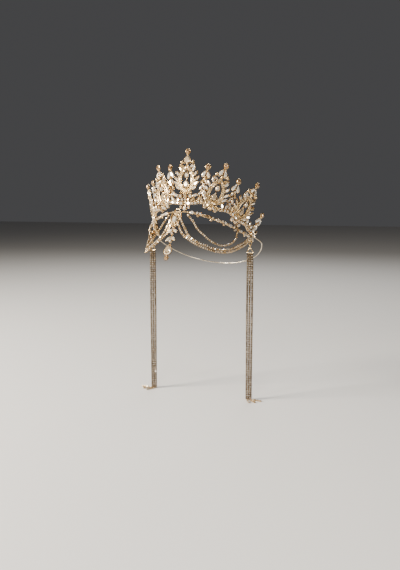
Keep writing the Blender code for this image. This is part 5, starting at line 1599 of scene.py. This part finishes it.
def single_chain(side, label):
    route = [head_point(share_angle(side, row["share"]), row["drop"], CHAIN_STAND_OFF) for row in SINGLE_CHAIN_ROUTE]
    make_swag("single_chain_" + label, route, festoon_lug(side, SINGLE_START_SHARE), festoon_lug(side, SINGLE_END_SHARE))


def double_chain(side, label):
    middle = [head_point(share_angle(side, row["share"]), row["drop"], CHAIN_STAND_OFF) for row in DOUBLE_CHAIN_ROUTE]
    starts = [plaque_plane @ centre for centre in plaque_lugs(side)]
    for index, (sign, part) in enumerate(((1.0, "upper"), (-1.0, "lower"))):
        route = []
        for place, row in enumerate(DOUBLE_CHAIN_ROUTE):
            before = middle[max(place - 1, 0)]
            after = middle[min(place + 1, len(middle) - 1)]
            out = outward_at(share_angle(side, row["share"]))
            across = out.cross(after - before).normalized() * side
            route.append(middle[place] + across * (sign * row["apart"] / 2.0))
        name = "double_chain_{}_{}".format(part, label)
        make_swag(name, route, starts[index], cluster_lug(side, CLUSTER_LUGS[index]), DOUBLE_WIDER)


for side, label in ((1.0, "right"), (-1.0, "left")):
    single_chain(side, label)
    double_chain(side, label)

# %% [markdown]
# ## Ends of the crown
# At each ear a round stone with two leaves gathers the festoon and the chains, and carries the tassel on an
# eyelet, two links and a three-cornered ring. All of them are bent from the same wire.

# %% End clusters, links and rings
LINK_HALF_LENGTH = 0.0034
LINK_HALF_WIDTH = 0.0015
LINKS = 2
TASSEL_RING_WIDTH = 0.0094
TASSEL_RING_HEIGHT = 0.0068
RISE = Vector((0.0, 0.0, 1.0))
DEPTH = Vector((0.0, 1.0, 0.0))


def cluster_eyelet(side):
    level = -END_CLUSTER_RADIUS - LEAF_LENGTH * 0.55
    return cluster_plane(side) @ Vector((0.0, level, 0.0))


def link_centre(side, count):
    first = EYELET_RADIUS - 2.0 * EYELET_WIRE - LINK_PLAY + LINK_HALF_LENGTH
    pitch = 2.0 * LINK_HALF_LENGTH - 2.0 * EYELET_WIRE - LINK_PLAY
    return cluster_eyelet(side) - RISE * (first + pitch * (count - 1))


def ring_top(side):
    return link_centre(side, LINKS) - RISE * (LINK_HALF_LENGTH - 2.0 * EYELET_WIRE - LINK_PLAY)


def make_end_cluster(side, label):
    metal = bmesh.new()
    stones = bmesh.new()
    plane = cluster_plane(side)
    set_stone(metal, stones, "cluster", plane @ at(0.0, END_CLUSTER_RADIUS * 0.2, 0.0010))
    bmesh.ops.create_cone(metal, cap_ends=True, segments=20, radius1=END_CLUSTER_RADIUS * 0.9,
                          radius2=END_CLUSTER_RADIUS * 0.96, depth=0.0011, matrix=plane)
    for turn in (-1.0, 1.0):
        petal = plane @ at(turn * PETAL_WIDTH * 0.55, -END_CLUSTER_RADIUS, 0.0003, -turn * math.radians(24.0))
        set_stone(metal, stones, "petal", petal)
    for lug in CLUSTER_LUGS:
        centre = Vector((-side * lug["forward"], -lug["down"], 0.0))
        root = Vector((-side * lug["root_forward"], -lug["root_down"], 0.0))
        add_ball(metal, LUG_RADIUS * 0.9, plane @ Matrix.Translation(centre))
        add_wire(metal, [centre, root], 0.0005, matrix=plane)
    eyelet = oval_ring(cluster_eyelet(side), RISE, DEPTH, EYELET_RADIUS, EYELET_RADIUS, EYELET_WIRE)
    add_wire(metal, eyelet, EYELET_WIRE, closed=True)
    stem_low = -END_CLUSTER_RADIUS - LEAF_LENGTH * 0.55 + EYELET_RADIUS - EYELET_WIRE
    add_wire(metal, [(0.0, 0.0, 0.0), (0.0, stem_low, 0.0)], 0.0005, matrix=plane)
    name = "end_cluster_" + label
    make_piece(name + "_metalwork", metal, gold, nodes=[name])
    make_piece(name + "_stones", stones, clear_stone, stone=True)


def make_links(side, label):
    for count in range(1, LINKS + 1):
        wide = ACROSS if count % 2 else DEPTH
        shape = bmesh.new()
        points = oval_ring(link_centre(side, count), RISE, wide, LINK_HALF_LENGTH, LINK_HALF_WIDTH, EYELET_WIRE)
        add_wire(shape, points, EYELET_WIRE, closed=True)
        node = "tassel_link_{}_{}".format(count, label)
        make_piece("wire_link_{}_{}".format(count, label), shape, gold, nodes=[node])
    top = ring_top(side)
    half = TASSEL_RING_WIDTH / 2.0
    corner = 0.14 * TASSEL_RING_WIDTH
    points = []
    for x, z in ((0.0, 0.0), (corner, -0.3 * corner), (half, corner - TASSEL_RING_HEIGHT),
                 (half - corner, -TASSEL_RING_HEIGHT), (0.0, -TASSEL_RING_HEIGHT),
                 (corner - half, -TASSEL_RING_HEIGHT), (-half, corner - TASSEL_RING_HEIGHT),
                 (-corner, -0.3 * corner)):
        points.append(top + Vector((x, 0.0, z)))
    shape = bmesh.new()
    add_wire(shape, points, EYELET_WIRE, closed=True)
    node = "tassel_ring_" + label
    make_piece("three_cornered_ring_" + label, shape, gold, nodes=[node])


for side, label in ((1.0, "right"), (-1.0, "left")):
    make_end_cluster(side, label)
    make_links(side, label)

# %% [markdown]
# ## Tassels
# Three strands of the same stone chain hang side by side from a small bar. The rows line up, so from a few
# steps away they read as one ribbon of tiny cells. Each strand ends in a few leaf stones that lie on the
# floor and fan outwards.

# %% Tassels
TASSEL_STRANDS = 3
STRAND_PITCH = 0.0032
STRAND_WIDER = 1.18
ROW_PITCH = 0.0034
STRAND_BOW = 0.0005
TASSEL_HEAD_WIDTH = 0.0094
TASSEL_HEAD_HEIGHT = 0.0016
TASSEL_FOOT = -0.2330
TAIL_BAR_HEIGHT = 0.0010
STRAND_SWAYS = [
    dict(share=0.0, sway=0.0),
    dict(share=0.2, sway=0.8),
    dict(share=0.4, sway=1.0),
    dict(share=0.7, sway=0.4),
    dict(share=1.0, sway=0.0),
]


strand_unit = as_pattern("strand_cup", chain_cup(0.0014, 0.0026, ROW_PITCH))


def to_front(point):
    """The strands face the front."""
    return Vector((0.0, -1.0, 0.0))


def strand_x(index):
    return (index - (TASSEL_STRANDS - 1) / 2.0) * STRAND_PITCH


def make_tassel(side, label):
    metal = bmesh.new()
    stones = bmesh.new()
    middle = ring_top(side)
    top = middle.z - TASSEL_RING_HEIGHT - EYELET_WIRE - GAP
    foot = TASSEL_FOOT + TAIL_BAR_HEIGHT + GAP
    head = Matrix.Translation((middle.x, middle.y, top - TASSEL_HEAD_HEIGHT / 2.0))
    add_bar(metal, TASSEL_HEAD_WIDTH, 0.0022, TASSEL_HEAD_HEIGHT, head)
    for index in range(TASSEL_STRANDS):
        x = middle.x + side * strand_x(index)
        bow = side * (index - (TASSEL_STRANDS - 1) / 2.0) * STRAND_BOW
        start = top - TASSEL_HEAD_HEIGHT - CHAIN_WIDTH / 2.0
        stop = foot + CHAIN_WIDTH / 2.0
        route = [Vector((x + bow * row["sway"], middle.y, start + (stop - start) * row["share"])) for row in STRAND_SWAYS]
        add_chain(metal, stones, smooth_route(route, ROW_PITCH), to_front, STRAND_WIDER, strand_unit)
    name = "tassel_" + label
    # The tassel's finishes carry painted shade.
    make_piece(name + "_cups", metal, tassel_gold_painted_shade, nodes=[name])
    make_piece(name + "_stones", stones, tassel_stone_painted_shade, stone=True)


TAIL_FIRST = 0.0072
TAIL_PITCH = 0.0041
TAIL_STONES = 3
TAIL_TURNS = (math.radians(-58.0), math.radians(-38.0), math.radians(-8.0))
TAIL_STONE_WIDTH = 0.0030
TAIL_STONE_LENGTH = 0.0040


def tail_patterns():
    """Small leaf stone that lies on the floor, in its cup."""
    cup = setting_cup("marquise", TAIL_STONE_WIDTH, TAIL_STONE_LENGTH, 0.0010, 12, 0.0003)
    bmesh.ops.translate(cup, verts=cup.verts, vec=(0.0, 0.0, 0.0010))
    stone = cut_stone("marquise", TAIL_STONE_WIDTH, TAIL_STONE_LENGTH, 0.0009, 10, ONE_STEP)
    bmesh.ops.translate(stone, verts=stone.verts, vec=(0.0, 0.0, 0.0011))
    return as_pattern("tail_cup", cup), as_pattern("tail_stone", stone)


tail_cup, tail_stone = tail_patterns()


def make_tails(side, label):
    middle = ring_top(side)
    stones = bmesh.new()
    for index in range(TASSEL_STRANDS):
        start = Vector((middle.x + side * strand_x(index), middle.y, TASSEL_FOOT))
        turn = TAIL_TURNS[index] if side > 0.0 else math.pi - TAIL_TURNS[index]
        base = Matrix.Translation(start) @ Matrix.Rotation(turn, 4, "Z")
        metal = bmesh.new()
        last = TAIL_FIRST + TAIL_PITCH * (TAIL_STONES - 1)
        add_wire(metal, [(-0.0006, 0.0, 0.0005), (last, 0.0, 0.0005)], 0.00045, matrix=base)
        for stone in range(TAIL_STONES):
            place = base @ at(TAIL_FIRST + TAIL_PITCH * stone, 0.0, 0.0, math.pi / 2.0)
            stamp(metal, tail_cup, place)
            stamp(stones, tail_stone, place)
        node = "tassel_tail_{}_{}".format(index + 1, label)
        make_piece("tail_cups_{}_{}".format(index + 1, label), metal, gold, nodes=[node])
    make_piece("tail_stones_" + label, stones, clear_stone, stone=True)


for side, label in ((1.0, "right"), (-1.0, "left")):
    make_tassel(side, label)
    make_tails(side, label)

# %% [markdown]
# ## Wire behind the head
# The photograph shows only a thin pale line behind the right end. It is a springy wire that closes the oval
# round the back of the head, a little away from it.

# %% Back wire
BACK_WIRE_RADIUS = 0.0007
BACK_WIRE_GROW = 0.0080
BACK_WIRE_BLEND = math.radians(14.0)
BACK_WIRE_STEPS = 96

wire_start = CROWN_END_ANGLE
wire_stop = 2.0 * math.pi - CROWN_END_ANGLE
wire_points = []
for step in range(BACK_WIRE_STEPS + 1):
    angle = wire_start + (wire_stop - wire_start) * step / BACK_WIRE_STEPS
    part = min(min(angle - wire_start, wire_stop - angle) / BACK_WIRE_BLEND, 1.0)
    grow = BACK_WIRE_GROW * part * part * (3.0 - 2.0 * part)
    wire_points.append(head_point(angle, 0.0, grow))
back = bmesh.new()
add_wire(back, wire_points, BACK_WIRE_RADIUS)
make_piece("back_wire_bent", back, pale_wire, nodes=["back_wire"])
